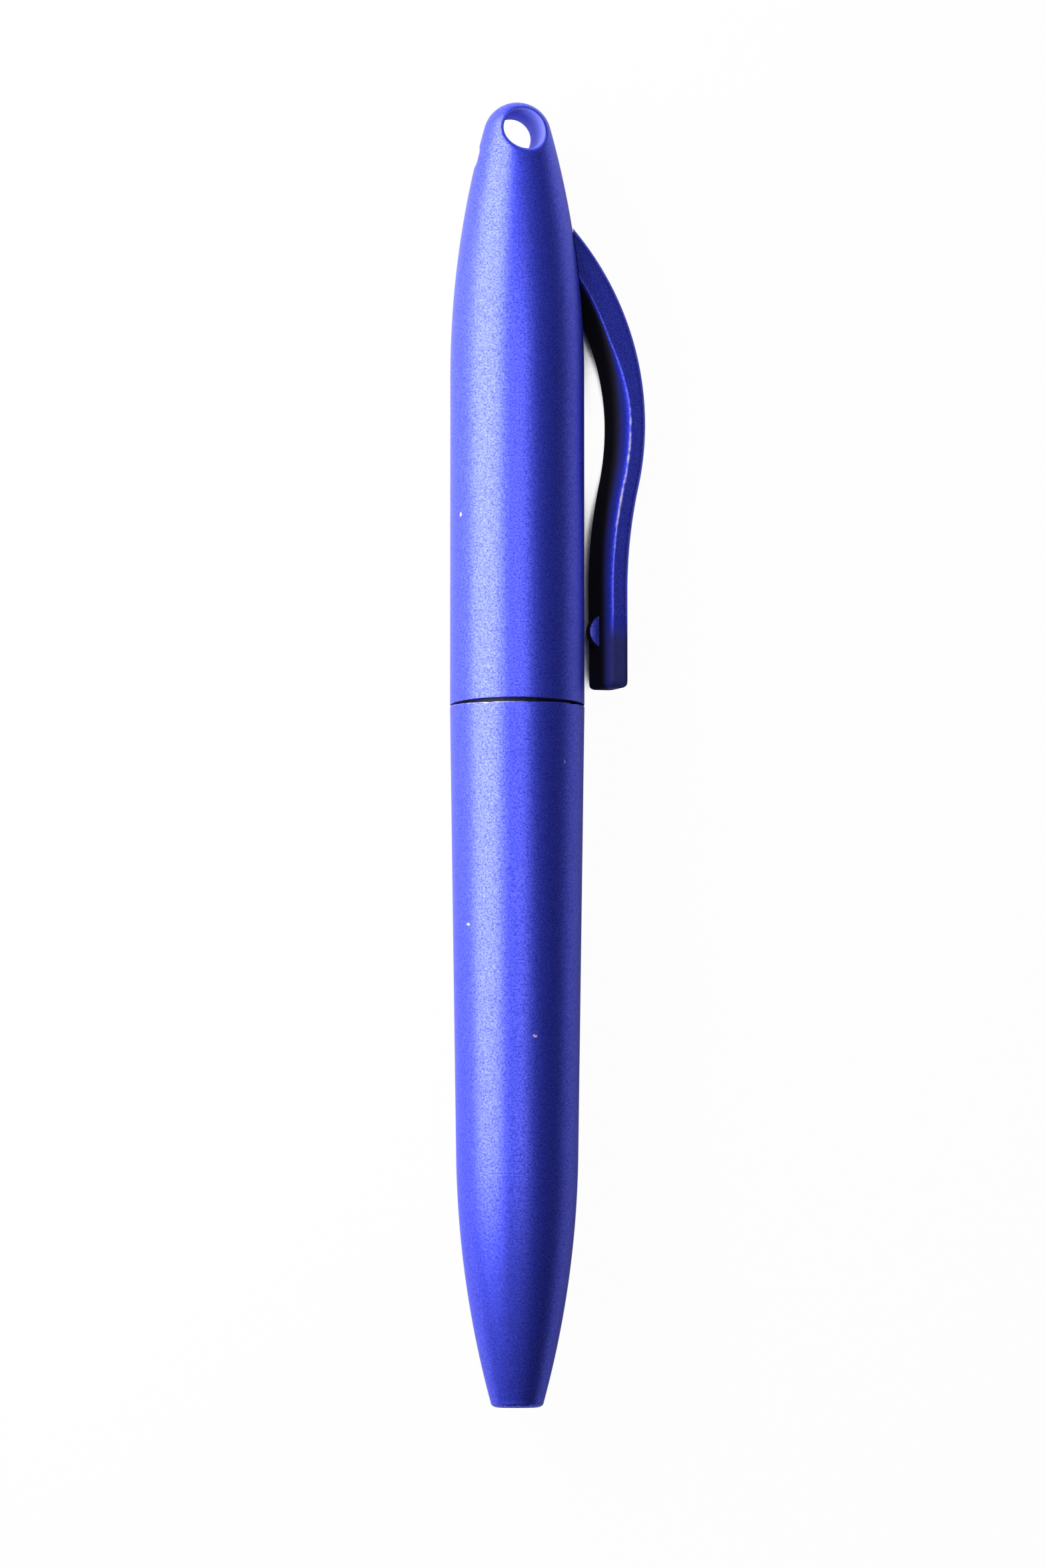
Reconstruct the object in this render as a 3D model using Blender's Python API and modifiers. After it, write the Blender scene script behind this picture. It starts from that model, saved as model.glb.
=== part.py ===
"""Short twist-action ballpoint pen with a lanyard eye, lying at rest on its clip.

Every piece is modelled upright about its own Z axis, nose end at the origin and
crown at the top. One empty then lays the pen down along Y and rolls it until
the clip meets the surface that the barrel lies on.
"""
import math

import bmesh
import bpy
from mathutils import Matrix, Vector

for old in list(bpy.data.objects):
    bpy.data.objects.remove(old, do_unlink=True)

MM = 0.001

# Refill, which sets the length of the barrel
REFILL_LENGTH = 67.0 * MM
REFILL_DIAMETER = 2.35 * MM
REFILL_BORE = 1.75 * MM
TIP_LENGTH = 8.6 * MM
TIP_CONE_LENGTH = 3.4 * MM
TIP_CONE_DIAMETER = 1.5 * MM
TIP_SHOULDER_LENGTH = 0.85 * MM
TIP_SHANK_LENGTH = 4.2 * MM
INK_CHANNEL_DIAMETER = 0.6 * MM
INK_LENGTH = 46.0 * MM
BALL_DIAMETER = 1.0 * MM
BALL_STANDOUT = 0.27 * MM
BALL_GAP = 0.03 * MM

# Motion
FEED_TRAVEL = 5.0 * MM
TWIST_ANGLE = math.radians(180.0)
TIP_RETRACTED = 1.3 * MM

# Clearances between pieces that are fixed, that run, that seat closely and that meet at the seam and clip
FIT_GAP = 0.10 * MM
RUNNING_GAP = 0.15 * MM
SNUG_GAP = 0.05 * MM
SEAM_GAP = 0.12 * MM
CLIP_GAP = 0.20 * MM

# Lower barrel
BODY_DIAMETER = 10.8 * MM
TAPER_END_DIAMETER = 9.77 * MM
NOSE_CURVE_LENGTH = 20.0 * MM
NOSE_END_DIAMETER = 4.16 * MM
NOSE_EDGE_RADIUS = 0.25 * MM
NOSE_LAND = 2.5 * MM
BARREL_WALL = 0.95 * MM
SOCKET_WALL = 1.10 * MM
RIM_ROUND = 0.10 * MM
TAIL_STANDOUT = 12.27 * MM

# Upper barrel with its crown and lanyard eye
CAP_LENGTH = 48.85 * MM
CAP_STRAIGHT = 26.55 * MM
CROWN_RADIUS = 2.75 * MM
CROWN_WALL = 1.0 * MM
EYE_DIAMETER = 3.35 * MM
EYE_DROP = 2.6 * MM
EYE_FLOOR = 3.2 * MM
EYE_TURN = math.radians(-7.5)

# Clip
CLIP_WIDTH = 4.2 * MM
CLIP_ROOT_THICKNESS = 2.4 * MM
CLIP_BOW_THICKNESS = 2.15 * MM
CLIP_FOOT_THICKNESS = 1.95 * MM
CLIP_EDGE_RADIUS = 0.5 * MM
CLIP_INNER_EDGE = 0.25 * MM
CLIP_INNER_SWELL = 1.1 * MM
CLIP_SWELL_HEIGHT = 20.95 * MM
CLIP_SWELL_SPREAD = 9.5 * MM
CLIP_BOW_RADIUS = 22.8 * MM
CLIP_SWEEP_RADIUS = 38.0 * MM
CLIP_BOW_REACH = 10.4 * MM
CLIP_FOOT_REACH = 8.85 * MM
CLIP_BOW_HEIGHT = 22.95 * MM
CLIP_FOOT_HEIGHT = 1.55 * MM
CLIP_TOE_ROUND = 1.6 * MM
CLIP_TOE_EDGE = 0.3 * MM
RIB_HEIGHT = 0.8 * MM
RIB_CHORD = 2.6 * MM
RIB_WIDTH = 0.9 * MM
RIB_FROM_TOE = 4.4 * MM
TANG_WIDTH = 2.6 * MM
TANG_HEIGHT = 1.5 * MM
TANG_DROP = 0.9 * MM
TANG_DEPTH = 1.1 * MM
HOOK_RISE = 0.9 * MM
HOOK_THICKNESS = 0.8 * MM

# Twist mechanism
CARRIER_WALL = 1.2 * MM
CARRIER_SOCKET = 6.8 * MM
CARRIER_HEAD = 3.0 * MM
PIN_DIAMETER = 1.2 * MM
PIN_ABOVE_TAIL = 3.7 * MM
GUIDE_WALL = 0.85 * MM
GUIDE_LEDGE = 2.7 * MM
GUIDE_LIP = 0.5 * MM
SPIGOT_LENGTH = 15.0 * MM
COLLAR_LENGTH = 4.1 * MM
CAM_WALL = 0.9 * MM
CAM_ABOVE_PIN = 5.5 * MM
DRAG_RING_SECTION = 0.72 * MM
DRAG_RING_GAP = 0.08 * MM
DRAG_RING_HEIGHT = 2.0 * MM
CIRCLIP_THICKNESS = 0.5 * MM
CIRCLIP_GROOVE = 0.45 * MM
CIRCLIP_WIDTH = 1.1 * MM
CIRCLIP_OPENING = math.radians(70.0)
SPRING_WIRE = 0.4 * MM
SPRING_TURNS = 12

# Facets
SHELL_SEGMENTS = 48
SLEEVE_SEGMENTS = 32
REFILL_SEGMENTS = 24
PIN_SEGMENTS = 16
ARC_STEPS = 9
CORNER_STEPS = 4
SLOT_STEPS = 26
COIL_POINTS = 10
RING_SEGMENTS = 8
BALL_RINGS = 10
FILLET_LIMIT = 0.9
SLOT_END_SHARE = 0.97
SLOT_EASE = 0.35
MERGE = 1e-6

# Radii from the refill outwards, and where each piece starts and ends
body_r = BODY_DIAMETER / 2
refill_r = REFILL_DIAMETER / 2
pin_r = PIN_DIAMETER / 2
carrier_r = refill_r + FIT_GAP + CARRIER_WALL
guide_bore_r = carrier_r + RUNNING_GAP
guide_r = guide_bore_r + GUIDE_WALL
cam_bore_r = guide_r + RUNNING_GAP
cam_r = cam_bore_r + CAM_WALL
cap_bore_r = cam_r + FIT_GAP
collar_r = cap_bore_r - RUNNING_GAP
socket_r = body_r - SOCKET_WALL
spigot_r = socket_r - FIT_GAP

tail_z = TIP_RETRACTED + REFILL_LENGTH
barrel_z = tail_z - TAIL_STANDOUT
cap_z = barrel_z + SEAM_GAP
crown_z = cap_z + CAP_LENGTH
ogive_z = cap_z + CAP_STRAIGHT
eye_z = crown_z - EYE_DROP
cavity_z = eye_z - EYE_DIAMETER / 2 - EYE_FLOOR
spigot_z = barrel_z - SPIGOT_LENGTH
ledge_z = spigot_z + GUIDE_LEDGE
collar_z = barrel_z + FIT_GAP
collar_top_z = collar_z + COLLAR_LENGTH
pin_z = tail_z + PIN_ABOVE_TAIL
cam_z = collar_top_z + RUNNING_GAP
cam_top_z = pin_z + CAM_ABOVE_PIN
circlip_z = cam_top_z + RUNNING_GAP
guide_top_z = circlip_z + CIRCLIP_THICKNESS + SNUG_GAP + GUIDE_LIP
carrier_z = tail_z - CARRIER_SOCKET

parts = bpy.data.collections.new("ballpoint_pen")
cutters = bpy.data.collections.new("pen_cutters")
bpy.context.scene.collection.children.link(parts)
bpy.context.scene.collection.children.link(cutters)


def finish(name, colour, roughness, metallic):
    """A Principled material in one colour."""
    material = bpy.data.materials.new(name)
    material.use_nodes = True
    shader = material.node_tree.nodes["Principled BSDF"]
    shader.inputs["Base Color"].default_value = (*colour, 1.0)
    shader.inputs["Roughness"].default_value = roughness
    shader.inputs["Metallic"].default_value = metallic
    return material


lacquer = finish("violet_blue_lacquer", (0.045, 0.05, 0.42), 0.38, 0.6)
dark_acetal = finish("dark_acetal", (0.03, 0.03, 0.035), 0.45, 0.0)
pale_acetal = finish("pale_acetal", (0.78, 0.77, 0.72), 0.45, 0.0)
steel = finish("steel", (0.56, 0.57, 0.58), 0.3, 1.0)
brass = finish("brass", (0.72, 0.52, 0.2), 0.3, 1.0)
nickel_silver = finish("nickel_silver", (0.66, 0.63, 0.56), 0.25, 1.0)
carbide = finish("carbide", (0.3, 0.3, 0.31), 0.15, 1.0)
rubber = finish("rubber", (0.02, 0.02, 0.02), 0.7, 0.0)
ink = finish("blue_ink", (0.01, 0.015, 0.16), 0.3, 0.0)


def empty(name, parent=None, location=(0, 0, 0)):
    """An empty that carries the pieces of one moving group."""
    carrier = bpy.data.objects.new(name, None)
    carrier.empty_display_size = 5 * MM
    carrier.parent = parent
    carrier.location = location
    parts.objects.link(carrier)
    return carrier


def add(name, data, parent, material=None, location=(0, 0, 0)):
    """A part when it has a material, and otherwise a cutter."""
    piece = bpy.data.objects.new(name, data)
    piece.parent = parent
    piece.location = location
    if material:
        data.materials.append(material)
        parts.objects.link(piece)
    else:
        cutters.objects.link(piece)
        piece.hide_render = True
        piece.display_type = "WIRE"
    return piece


def smooth(mesh):
    """Shades a round mesh smooth, with its corners left sharp."""
    mesh.shade_smooth()
    mesh.set_sharp_from_angle(angle=math.radians(30))


def turned(name, profile, segments, parent, material=None, closed=True):
    """Turns a profile of (radius, height) points about Z with a Screw modifier."""
    mesh = bpy.data.meshes.new(name)
    points = [(r, 0, z) for r, z in profile]
    edges = [(i, i + 1) for i in range(len(points) - 1)]
    if closed:
        edges.append((len(points) - 1, 0))
    mesh.from_pydata(points, edges, [])
    piece = add(name, mesh, parent, material)
    screw = piece.modifiers.new("turn", "SCREW")
    screw.steps = segments
    screw.render_steps = segments
    screw.use_merge_vertices = True
    screw.merge_threshold = MERGE
    return piece


def from_bmesh(name, bm, parent, material=None, location=(0, 0, 0)):
    """Makes an object of a bmesh, with its faces turned outwards."""
    bmesh.ops.recalc_face_normals(bm, faces=bm.faces)
    mesh = bpy.data.meshes.new(name)
    bm.to_mesh(mesh)
    bm.free()
    smooth(mesh)
    return add(name, mesh, parent, material, location)


def rod(name, radius, length, segments, matrix, parent, material=None):
    """A round rod about its own Z, placed by a matrix."""
    bm = bmesh.new()
    bmesh.ops.create_cone(
        bm,
        cap_ends=True,
        segments=segments,
        radius1=radius,
        radius2=radius,
        depth=length,
        matrix=matrix,
    )
    return from_bmesh(name, bm, parent, material)


def block(name, low, high, parent):
    """A box cutter between two corners."""
    bm = bmesh.new()
    size = Vector(high) - Vector(low)
    middle = (Vector(high) + Vector(low)) / 2
    matrix = Matrix.Translation(middle) @ Matrix.Diagonal((*size, 1))
    bmesh.ops.create_cube(bm, size=1, matrix=matrix)
    return from_bmesh(name, bm, parent)


def plate(name, outline, thickness, matrix, parent, material=None):
    """A flat outline given a thickness as a filled 2D curve, then made a mesh."""
    curve = bpy.data.curves.new(name, "CURVE")
    curve.dimensions = "2D"
    curve.fill_mode = "BOTH"
    curve.extrude = thickness / 2
    spline = curve.splines.new("POLY")
    spline.points.add(len(outline) - 1)
    for point, (x, y) in zip(spline.points, outline):
        point.co = (x, y, 0, 1)
    spline.use_cyclic_u = True
    bm = mesh_of(curve)
    bmesh.ops.transform(bm, matrix=matrix, verts=bm.verts)
    return from_bmesh(name, bm, parent, material)


def mesh_of(curve):
    """The welded mesh of a curve, as a bmesh."""
    holder = bpy.data.objects.new(curve.name + "_curve", curve)
    cutters.objects.link(holder)
    bpy.context.view_layer.update()
    seen = holder.evaluated_get(bpy.context.evaluated_depsgraph_get())
    mesh = bpy.data.meshes.new_from_object(seen)
    bpy.data.objects.remove(holder, do_unlink=True)
    bm = bmesh.new()
    bm.from_mesh(mesh)
    bpy.data.meshes.remove(mesh)
    bmesh.ops.remove_doubles(bm, verts=bm.verts, dist=MERGE)
    return bm


def combine(piece, other, operation):
    """Adds a Boolean modifier with another object."""
    modifier = piece.modifiers.new(other.name, "BOOLEAN")
    modifier.operation = operation
    modifier.solver = "EXACT"
    modifier.object = other


def arc(centre, radius, start, end, steps):
    """Points of (radius, height) on an arc, from a start angle to an end angle."""
    turn = (end - start) / steps
    angles = [start + turn * i for i in range(steps + 1)]
    return [(centre[0] + radius * math.cos(a), centre[1] + radius * math.sin(a)) for a in angles]


# Outer forms of the two barrels
taper_r = TAPER_END_DIAMETER / 2
nose_r = NOSE_END_DIAMETER / 2
taper_slope = math.atan2(body_r - taper_r, barrel_z - NOSE_CURVE_LENGTH)
nose_reach = Vector((nose_r - taper_r, NOSE_EDGE_RADIUS - NOSE_CURVE_LENGTH))
nose_inward = Vector((-math.cos(taper_slope), math.sin(taper_slope)))
nose_curve_r = nose_reach.length_squared / (2 * nose_reach.dot(nose_inward))
nose_centre = Vector((taper_r, NOSE_CURVE_LENGTH)) + nose_inward * nose_curve_r
nose_end_angle = math.asin((NOSE_EDGE_RADIUS - nose_centre.y) / nose_curve_r)

crown_centre_z = crown_z - CROWN_RADIUS
ogive_rise = crown_centre_z - ogive_z
ogive_drop = body_r - CROWN_RADIUS
ogive_radius = (body_r**2 - CROWN_RADIUS**2 + ogive_rise**2) / (2 * ogive_drop)
ogive_centre = (body_r - ogive_radius, ogive_z)
ogive_end_angle = math.atan2(ogive_rise, ogive_radius - body_r)


def cap_radius(z):
    """Outer radius of the upper barrel below its round crown."""
    if z <= ogive_z:
        return body_r
    return ogive_centre[0] + math.sqrt(ogive_radius**2 - (z - ogive_z) ** 2)


def cap_outline(offset=0.0):
    """The crown and the drawn-in shoulder, from the top down, grown by an offset."""
    crown = arc((0, crown_centre_z), CROWN_RADIUS + offset, math.pi / 2, ogive_end_angle, ARC_STEPS)
    shoulder = arc(ogive_centre, ogive_radius + offset, ogive_end_angle, 0, ARC_STEPS)
    return [(0, crown_z + offset)] + crown[1:] + shoulder[1:]


# Clip line: one arc for the bow, one back-sweep and a straight foot
bow_z = cap_z + CLIP_BOW_HEIGHT
toe_z = cap_z + CLIP_FOOT_HEIGHT
bow_centre = (CLIP_BOW_REACH - CLIP_BOW_RADIUS, bow_z)
sweep_fall = CLIP_BOW_REACH - CLIP_FOOT_REACH
sweep_angle = math.acos(1 - sweep_fall / (CLIP_BOW_RADIUS + CLIP_SWEEP_RADIUS))
sweep_z = bow_z - (CLIP_BOW_RADIUS + CLIP_SWEEP_RADIUS) * math.sin(sweep_angle)
sweep_centre = (CLIP_FOOT_REACH + CLIP_SWEEP_RADIUS, sweep_z)


def bow_radius(z):
    """Outer radius of the clip's bow at a height above its peak."""
    return bow_centre[0] + math.sqrt(CLIP_BOW_RADIUS**2 - (z - bow_z) ** 2)


def root_height():
    """Height where the back of the bow runs into the upper barrel, by halving."""
    low = bow_z
    high = min(crown_centre_z, bow_z + CLIP_BOW_RADIUS)
    for _ in range(40):
        middle = (low + high) / 2
        if bow_radius(middle) > cap_radius(middle):
            low = middle
        else:
            high = middle
    return low


root_z = root_height()
root_r = cap_radius(root_z)
tang_top_z = root_z - TANG_DROP
tang_z = tang_top_z - TANG_HEIGHT
tang_inner_r = cap_radius(tang_top_z) - CROWN_WALL - TANG_DEPTH

# Resting roll: the clip's lower back edge and the barrel touch one surface
edge_reach = CLIP_BOW_REACH - CLIP_EDGE_RADIUS
edge_side = CLIP_WIDTH / 2 - CLIP_EDGE_RADIUS
edge_drop = (body_r - CLIP_EDGE_RADIUS) / math.hypot(edge_reach, edge_side)
roll = math.asin(edge_drop) - math.atan2(edge_side, edge_reach)
reach_x = edge_reach * math.cos(roll) + edge_side * math.sin(roll) + CLIP_EDGE_RADIUS

pen_frame = empty("pen_frame", None, ((body_r - reach_x) / 2, -crown_z / 2, body_r))
pen_frame.rotation_euler = (-math.pi / 2, roll, 0)
twist_axis = empty("twist_axis", pen_frame)
feed_axis = empty("feed_axis", pen_frame)
clip_pivot = empty("clip_pivot", twist_axis, (root_r, 0, root_z))


def lower_barrel():
    """Tapered barrel with a curved nose, a bore for the refill and a socket for the guide."""
    taper_start = (body_r, barrel_z - RIM_ROUND)
    nose = arc(nose_centre, nose_curve_r, -taper_slope, nose_end_angle, ARC_STEPS)
    hole_r = refill_r + RUNNING_GAP
    bore_r = taper_r - BARREL_WALL
    floor_z = spigot_z - FIT_GAP
    outer = [(body_r - RIM_ROUND, barrel_z), taper_start] + nose + [(nose_r - NOSE_EDGE_RADIUS, 0)]
    inner = [
        (hole_r, 0),
        (hole_r, NOSE_LAND),
        (bore_r, NOSE_CURVE_LENGTH),
        (bore_r, floor_z),
        (socket_r, floor_z),
        (socket_r, barrel_z),
    ]
    turned("lower_barrel", outer + inner, SHELL_SEGMENTS, pen_frame, lacquer)


def upper_barrel():
    """Upper barrel with a drawn-in crown, a lanyard eye and a slot for the clip's tang."""
    rim = [(body_r, cap_z + RIM_ROUND), (body_r - RIM_ROUND, cap_z), (cap_bore_r, cap_z)]
    cavity_angle = math.asin((cavity_z - ogive_z) / (ogive_radius - CROWN_WALL))
    cavity = arc(ogive_centre, ogive_radius - CROWN_WALL, 0, cavity_angle, ARC_STEPS)
    bore = [(cap_bore_r, ogive_z - CROWN_WALL)] + cavity + [(0, cavity_z)]
    profile = cap_outline() + rim + bore
    barrel = turned("upper_barrel", profile, SHELL_SEGMENTS, twist_axis, lacquer, closed=False)
    across = Matrix.Rotation(EYE_TURN, 4, "Z") @ Matrix.Rotation(math.pi / 2, 4, "X")
    place = Matrix.Translation((0, 0, eye_z)) @ across
    eye = rod("eye_cutter", EYE_DIAMETER / 2, 2 * BODY_DIAMETER, SLEEVE_SEGMENTS, place, twist_axis)
    combine(barrel, eye, "DIFFERENCE")
    half = TANG_WIDTH / 2 + CLIP_GAP
    low = (tang_inner_r, -half, tang_z - CLIP_GAP)
    high = (body_r, half, tang_top_z + CLIP_GAP)
    combine(barrel, block("tang_slot_cutter", low, high, twist_axis), "DIFFERENCE")


def clip_line():
    """Outer line of the clip from inside the barrel to its toe, as (radius, height, slope)."""
    start = math.asin(min(1.0, (root_z + CLIP_ROOT_THICKNESS / 2 - bow_z) / CLIP_BOW_RADIUS))
    line = []
    for i in range(2 * ARC_STEPS + 1):
        a = start - (start + sweep_angle) * i / (2 * ARC_STEPS)
        r = bow_centre[0] + CLIP_BOW_RADIUS * math.cos(a)
        line.append((r, bow_z + CLIP_BOW_RADIUS * math.sin(a), a))
    for i in range(1, ARC_STEPS + 1):
        a = sweep_angle * (1 - i / ARC_STEPS)
        r = sweep_centre[0] - CLIP_SWEEP_RADIUS * math.cos(a)
        line.append((r, sweep_z + CLIP_SWEEP_RADIUS * math.sin(a), -a))
    for i in range(ARC_STEPS + 1):
        a = math.pi / 2 * i / ARC_STEPS
        line.append((CLIP_FOOT_REACH, toe_z + CLIP_TOE_ROUND * (1 - math.sin(a)), 0.0))
    return line


def clip_thickness(z):
    """Thickness that swells from the root to the bow and thins again to the foot."""
    if z > bow_z:
        share = min(1.0, (z - bow_z) / (root_z - bow_z))
        far = CLIP_ROOT_THICKNESS
    else:
        share = (bow_z - z) / (bow_z - toe_z)
        far = CLIP_FOOT_THICKNESS
    blend = share * share * (3 - 2 * share)
    return CLIP_BOW_THICKNESS + (far - CLIP_BOW_THICKNESS) * blend


def clip_inner_edge(z):
    """Radius of the clip's inner edge on the thumb's side, which swells under the bow."""
    away = (z - cap_z - CLIP_SWELL_HEIGHT) / CLIP_SWELL_SPREAD
    return CLIP_INNER_EDGE + CLIP_INNER_SWELL * math.exp(-away * away)


def round_inset(distance, radius):
    """How far a rounded end draws in at a distance from its tip."""
    if distance >= radius:
        return 0.0
    return radius - math.sqrt(max(0.0, radius**2 - (radius - distance) ** 2))


def clip_section(r, z, slope):
    """Rounded rectangle across the clip, as points in the upright pen's space."""
    half = CLIP_WIDTH / 2 - round_inset(z - toe_z, CLIP_TOE_ROUND)
    thickness = clip_thickness(z)
    inset = round_inset(z - toe_z, CLIP_TOE_EDGE)
    outer = min(CLIP_EDGE_RADIUS, FILLET_LIMIT * (thickness / 2 - inset), FILLET_LIMIT * half)
    inner_limit = FILLET_LIMIT * min(thickness - 2 * inset - outer, half)
    thumb = min(clip_inner_edge(z), inner_limit)
    under = min(CLIP_INNER_EDGE, inner_limit)
    near = inset + outer
    far = thickness - inset
    normal = Vector((math.cos(slope), 0, math.sin(slope)))
    base = Vector((r, 0, z))
    corners = ((1, near, outer), (-1, near, outer), (-1, far - thumb, thumb), (1, far - under, under))
    points = []
    for quarter, (side, face, corner) in enumerate(corners):
        for i in range(CORNER_STEPS + 1):
            a = math.pi / 2 * (quarter + i / CORNER_STEPS)
            y = side * (half - corner) + corner * math.cos(a)
            depth = face - corner * math.sin(a)
            points.append(base - normal * depth + Vector((0, y, 0)))
    return points


def clip():
    """Sprung clip: a lofted strap with a grip rib, and a hooked tang through the barrel's slot."""
    bm = bmesh.new()
    rings = [[bm.verts.new(p) for p in clip_section(*row)] for row in clip_line()]
    for upper, lower in zip(rings, rings[1:]):
        for i in range(len(upper)):
            j = (i + 1) % len(upper)
            bm.faces.new((upper[i], upper[j], lower[j], lower[i]))
    bm.faces.new(rings[0])
    bm.faces.new(rings[-1])
    bmesh.ops.translate(bm, vec=(-root_r, 0, -root_z), verts=bm.verts)
    strap = from_bmesh("clip", bm, clip_pivot, lacquer)
    keep_out = cap_outline(FIT_GAP) + [(body_r + FIT_GAP, cap_z), (0, cap_z)]
    envelope = turned("cap_envelope_cutter", keep_out, SHELL_SEGMENTS, twist_axis, closed=False)
    combine(strap, envelope, "DIFFERENCE")
    rib_radius = (RIB_CHORD**2 / 4 + RIB_HEIGHT**2) / (2 * RIB_HEIGHT)
    rib_z = toe_z + RIB_FROM_TOE
    rib_top_r = CLIP_FOOT_REACH - clip_thickness(rib_z) - RIB_HEIGHT
    rib_depth = min(RIB_HEIGHT + clip_thickness(rib_z) / 2, 2 * FILLET_LIMIT * rib_radius)
    rib_half = math.acos(1 - rib_depth / rib_radius)
    rib_centre = (rib_top_r + rib_radius, rib_z)
    rib = arc(rib_centre, rib_radius, math.pi - rib_half, math.pi + rib_half, ARC_STEPS)
    upright = Matrix.Rotation(math.pi / 2, 4, "X")
    combine(strap, plate("rib_form", rib, RIB_WIDTH, upright, twist_axis), "UNION")
    tang_ends = [(cap_radius(z) + FIT_GAP + bow_radius(z)) / 2 for z in (tang_top_z, tang_z)]
    hook_r = tang_inner_r + HOOK_THICKNESS
    outline = [
        (tang_ends[0], tang_top_z),
        (hook_r, tang_top_z),
        (hook_r, tang_top_z + HOOK_RISE),
        (tang_inner_r, tang_top_z + HOOK_RISE),
        (tang_inner_r, tang_z),
        (tang_ends[1], tang_z),
    ]
    combine(strap, plate("tang_form", outline, TANG_WIDTH, upright, twist_axis), "UNION")


def guide_sleeve():
    """Fixed sleeve: spigot in the lower barrel, bearing collar, and a slotted guide tube."""
    groove_r = guide_r - CIRCLIP_GROOVE
    groove_z = circlip_z - SNUG_GAP
    groove_top_z = circlip_z + CIRCLIP_THICKNESS + SNUG_GAP
    ring_z = collar_z + DRAG_RING_HEIGHT
    ring_half = DRAG_RING_SECTION / 2 + FIT_GAP
    ring_r = cap_bore_r - DRAG_RING_GAP - DRAG_RING_SECTION - SNUG_GAP
    ledge_r = refill_r + 2 * RUNNING_GAP
    profile = [
        (guide_r, guide_top_z),
        (guide_r, groove_top_z),
        (groove_r, groove_top_z),
        (groove_r, groove_z),
        (guide_r, groove_z),
        (guide_r, collar_top_z),
        (collar_r, collar_top_z),
        (collar_r, ring_z + ring_half),
        (ring_r, ring_z + ring_half),
        (ring_r, ring_z - ring_half),
        (collar_r, ring_z - ring_half),
        (collar_r, collar_z),
        (spigot_r, collar_z),
        (spigot_r, spigot_z),
        (ledge_r, spigot_z),
        (ledge_r, ledge_z),
        (guide_bore_r, ledge_z),
        (guide_bore_r, guide_top_z),
    ]
    sleeve = turned("guide_sleeve", profile, SLEEVE_SEGMENTS, pen_frame, dark_acetal)
    half = pin_r + RUNNING_GAP
    outline = arc((0, pin_z), half, 0, math.pi, ARC_STEPS)
    outline += arc((0, pin_z - FEED_TRAVEL), half, math.pi, 2 * math.pi, ARC_STEPS)
    across = Matrix.Rotation(math.pi / 2, 4, "Z") @ Matrix.Rotation(math.pi / 2, 4, "X")
    combine(sleeve, plate("guide_slot_cutter", outline, 2 * cam_r, across, pen_frame), "DIFFERENCE")


def helical_slot(name, turn):
    """Cutter for one helical slot: a stadium along the helix on the unrolled sleeve, wrapped round it."""
    half = pin_r + RUNNING_GAP
    overrun = SLOT_END_SHARE * half
    run = cam_bore_r * TWIST_ANGLE
    lean = math.atan2(FEED_TRAVEL, run)
    inner_r = cam_bore_r - GUIDE_WALL / 2
    outer_r = cam_r + CAM_WALL / 2

    def edges(u):
        """Lower and upper edge of the stadium at a distance round the sleeve."""
        highs = []
        lows = []
        for centre, level in ((0.0, 0.0), (run, -FEED_TRAVEL)):
            if abs(u - centre) <= half:
                bulge = math.sqrt(half**2 - (u - centre) ** 2)
                highs.append(level + bulge)
                lows.append(level - bulge)
        side = half * math.sin(lean)
        middle = -FEED_TRAVEL * u / run
        if side <= u <= run + side:
            highs.append(middle + half / math.cos(lean))
        if -side <= u <= run - side:
            lows.append(middle - half / math.cos(lean))
        return min(lows), max(highs)

    bm = bmesh.new()
    rings = []
    for i in range(SLOT_STEPS + 1):
        ease = 0.5 - 0.5 * math.cos(math.pi * i / SLOT_STEPS)
        share = SLOT_EASE * ease + (1 - SLOT_EASE) * i / SLOT_STEPS
        u = (run + 2 * overrun) * share - overrun
        low, high = edges(u)
        a = turn + u / cam_bore_r
        corners = ((inner_r, low), (inner_r, high), (outer_r, high), (outer_r, low))
        rings.append([bm.verts.new((r * math.cos(a), r * math.sin(a), pin_z + z)) for r, z in corners])
    for first, second in zip(rings, rings[1:]):
        for j in range(4):
            k = (j + 1) % 4
            bm.faces.new((first[j], first[k], second[k], second[j]))
    bm.faces.new(rings[0])
    bm.faces.new(rings[-1])
    return from_bmesh(name, bm, twist_axis)


def cam_sleeve():
    """Turning sleeve in the upper barrel, whose two helical slots drive the cross pin."""
    profile = [(cam_r, cam_top_z), (cam_r, cam_z), (cam_bore_r, cam_z), (cam_bore_r, cam_top_z)]
    sleeve = turned("cam_sleeve", profile, SLEEVE_SEGMENTS, twist_axis, pale_acetal)
    for i in range(2):
        combine(sleeve, helical_slot(f"cam_slot_cutter_{i + 1}", math.pi * i), "DIFFERENCE")


def carrier():
    """Slide that grips the refill's tail and carries the cross pin."""
    top_z = pin_z + CARRIER_HEAD
    bevel = CARRIER_WALL / 4
    profile = [
        (0, top_z),
        (carrier_r - bevel, top_z),
        (carrier_r, top_z - bevel),
        (carrier_r, carrier_z),
        (refill_r + FIT_GAP, carrier_z),
        (refill_r + FIT_GAP, tail_z + FIT_GAP),
        (0, tail_z + FIT_GAP),
    ]
    slide = turned("carrier", profile, SLEEVE_SEGMENTS, feed_axis, pale_acetal, closed=False)
    across = Matrix.Translation((0, 0, pin_z)) @ Matrix.Rotation(math.pi / 2, 4, "Y")
    hole = rod("pin_hole_cutter", pin_r + SNUG_GAP, 4 * carrier_r, PIN_SEGMENTS, across, feed_axis)
    combine(slide, hole, "DIFFERENCE")
    rod("cross_pin", pin_r, 2 * (cam_r - RUNNING_GAP), PIN_SEGMENTS, across, feed_axis, steel)


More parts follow.
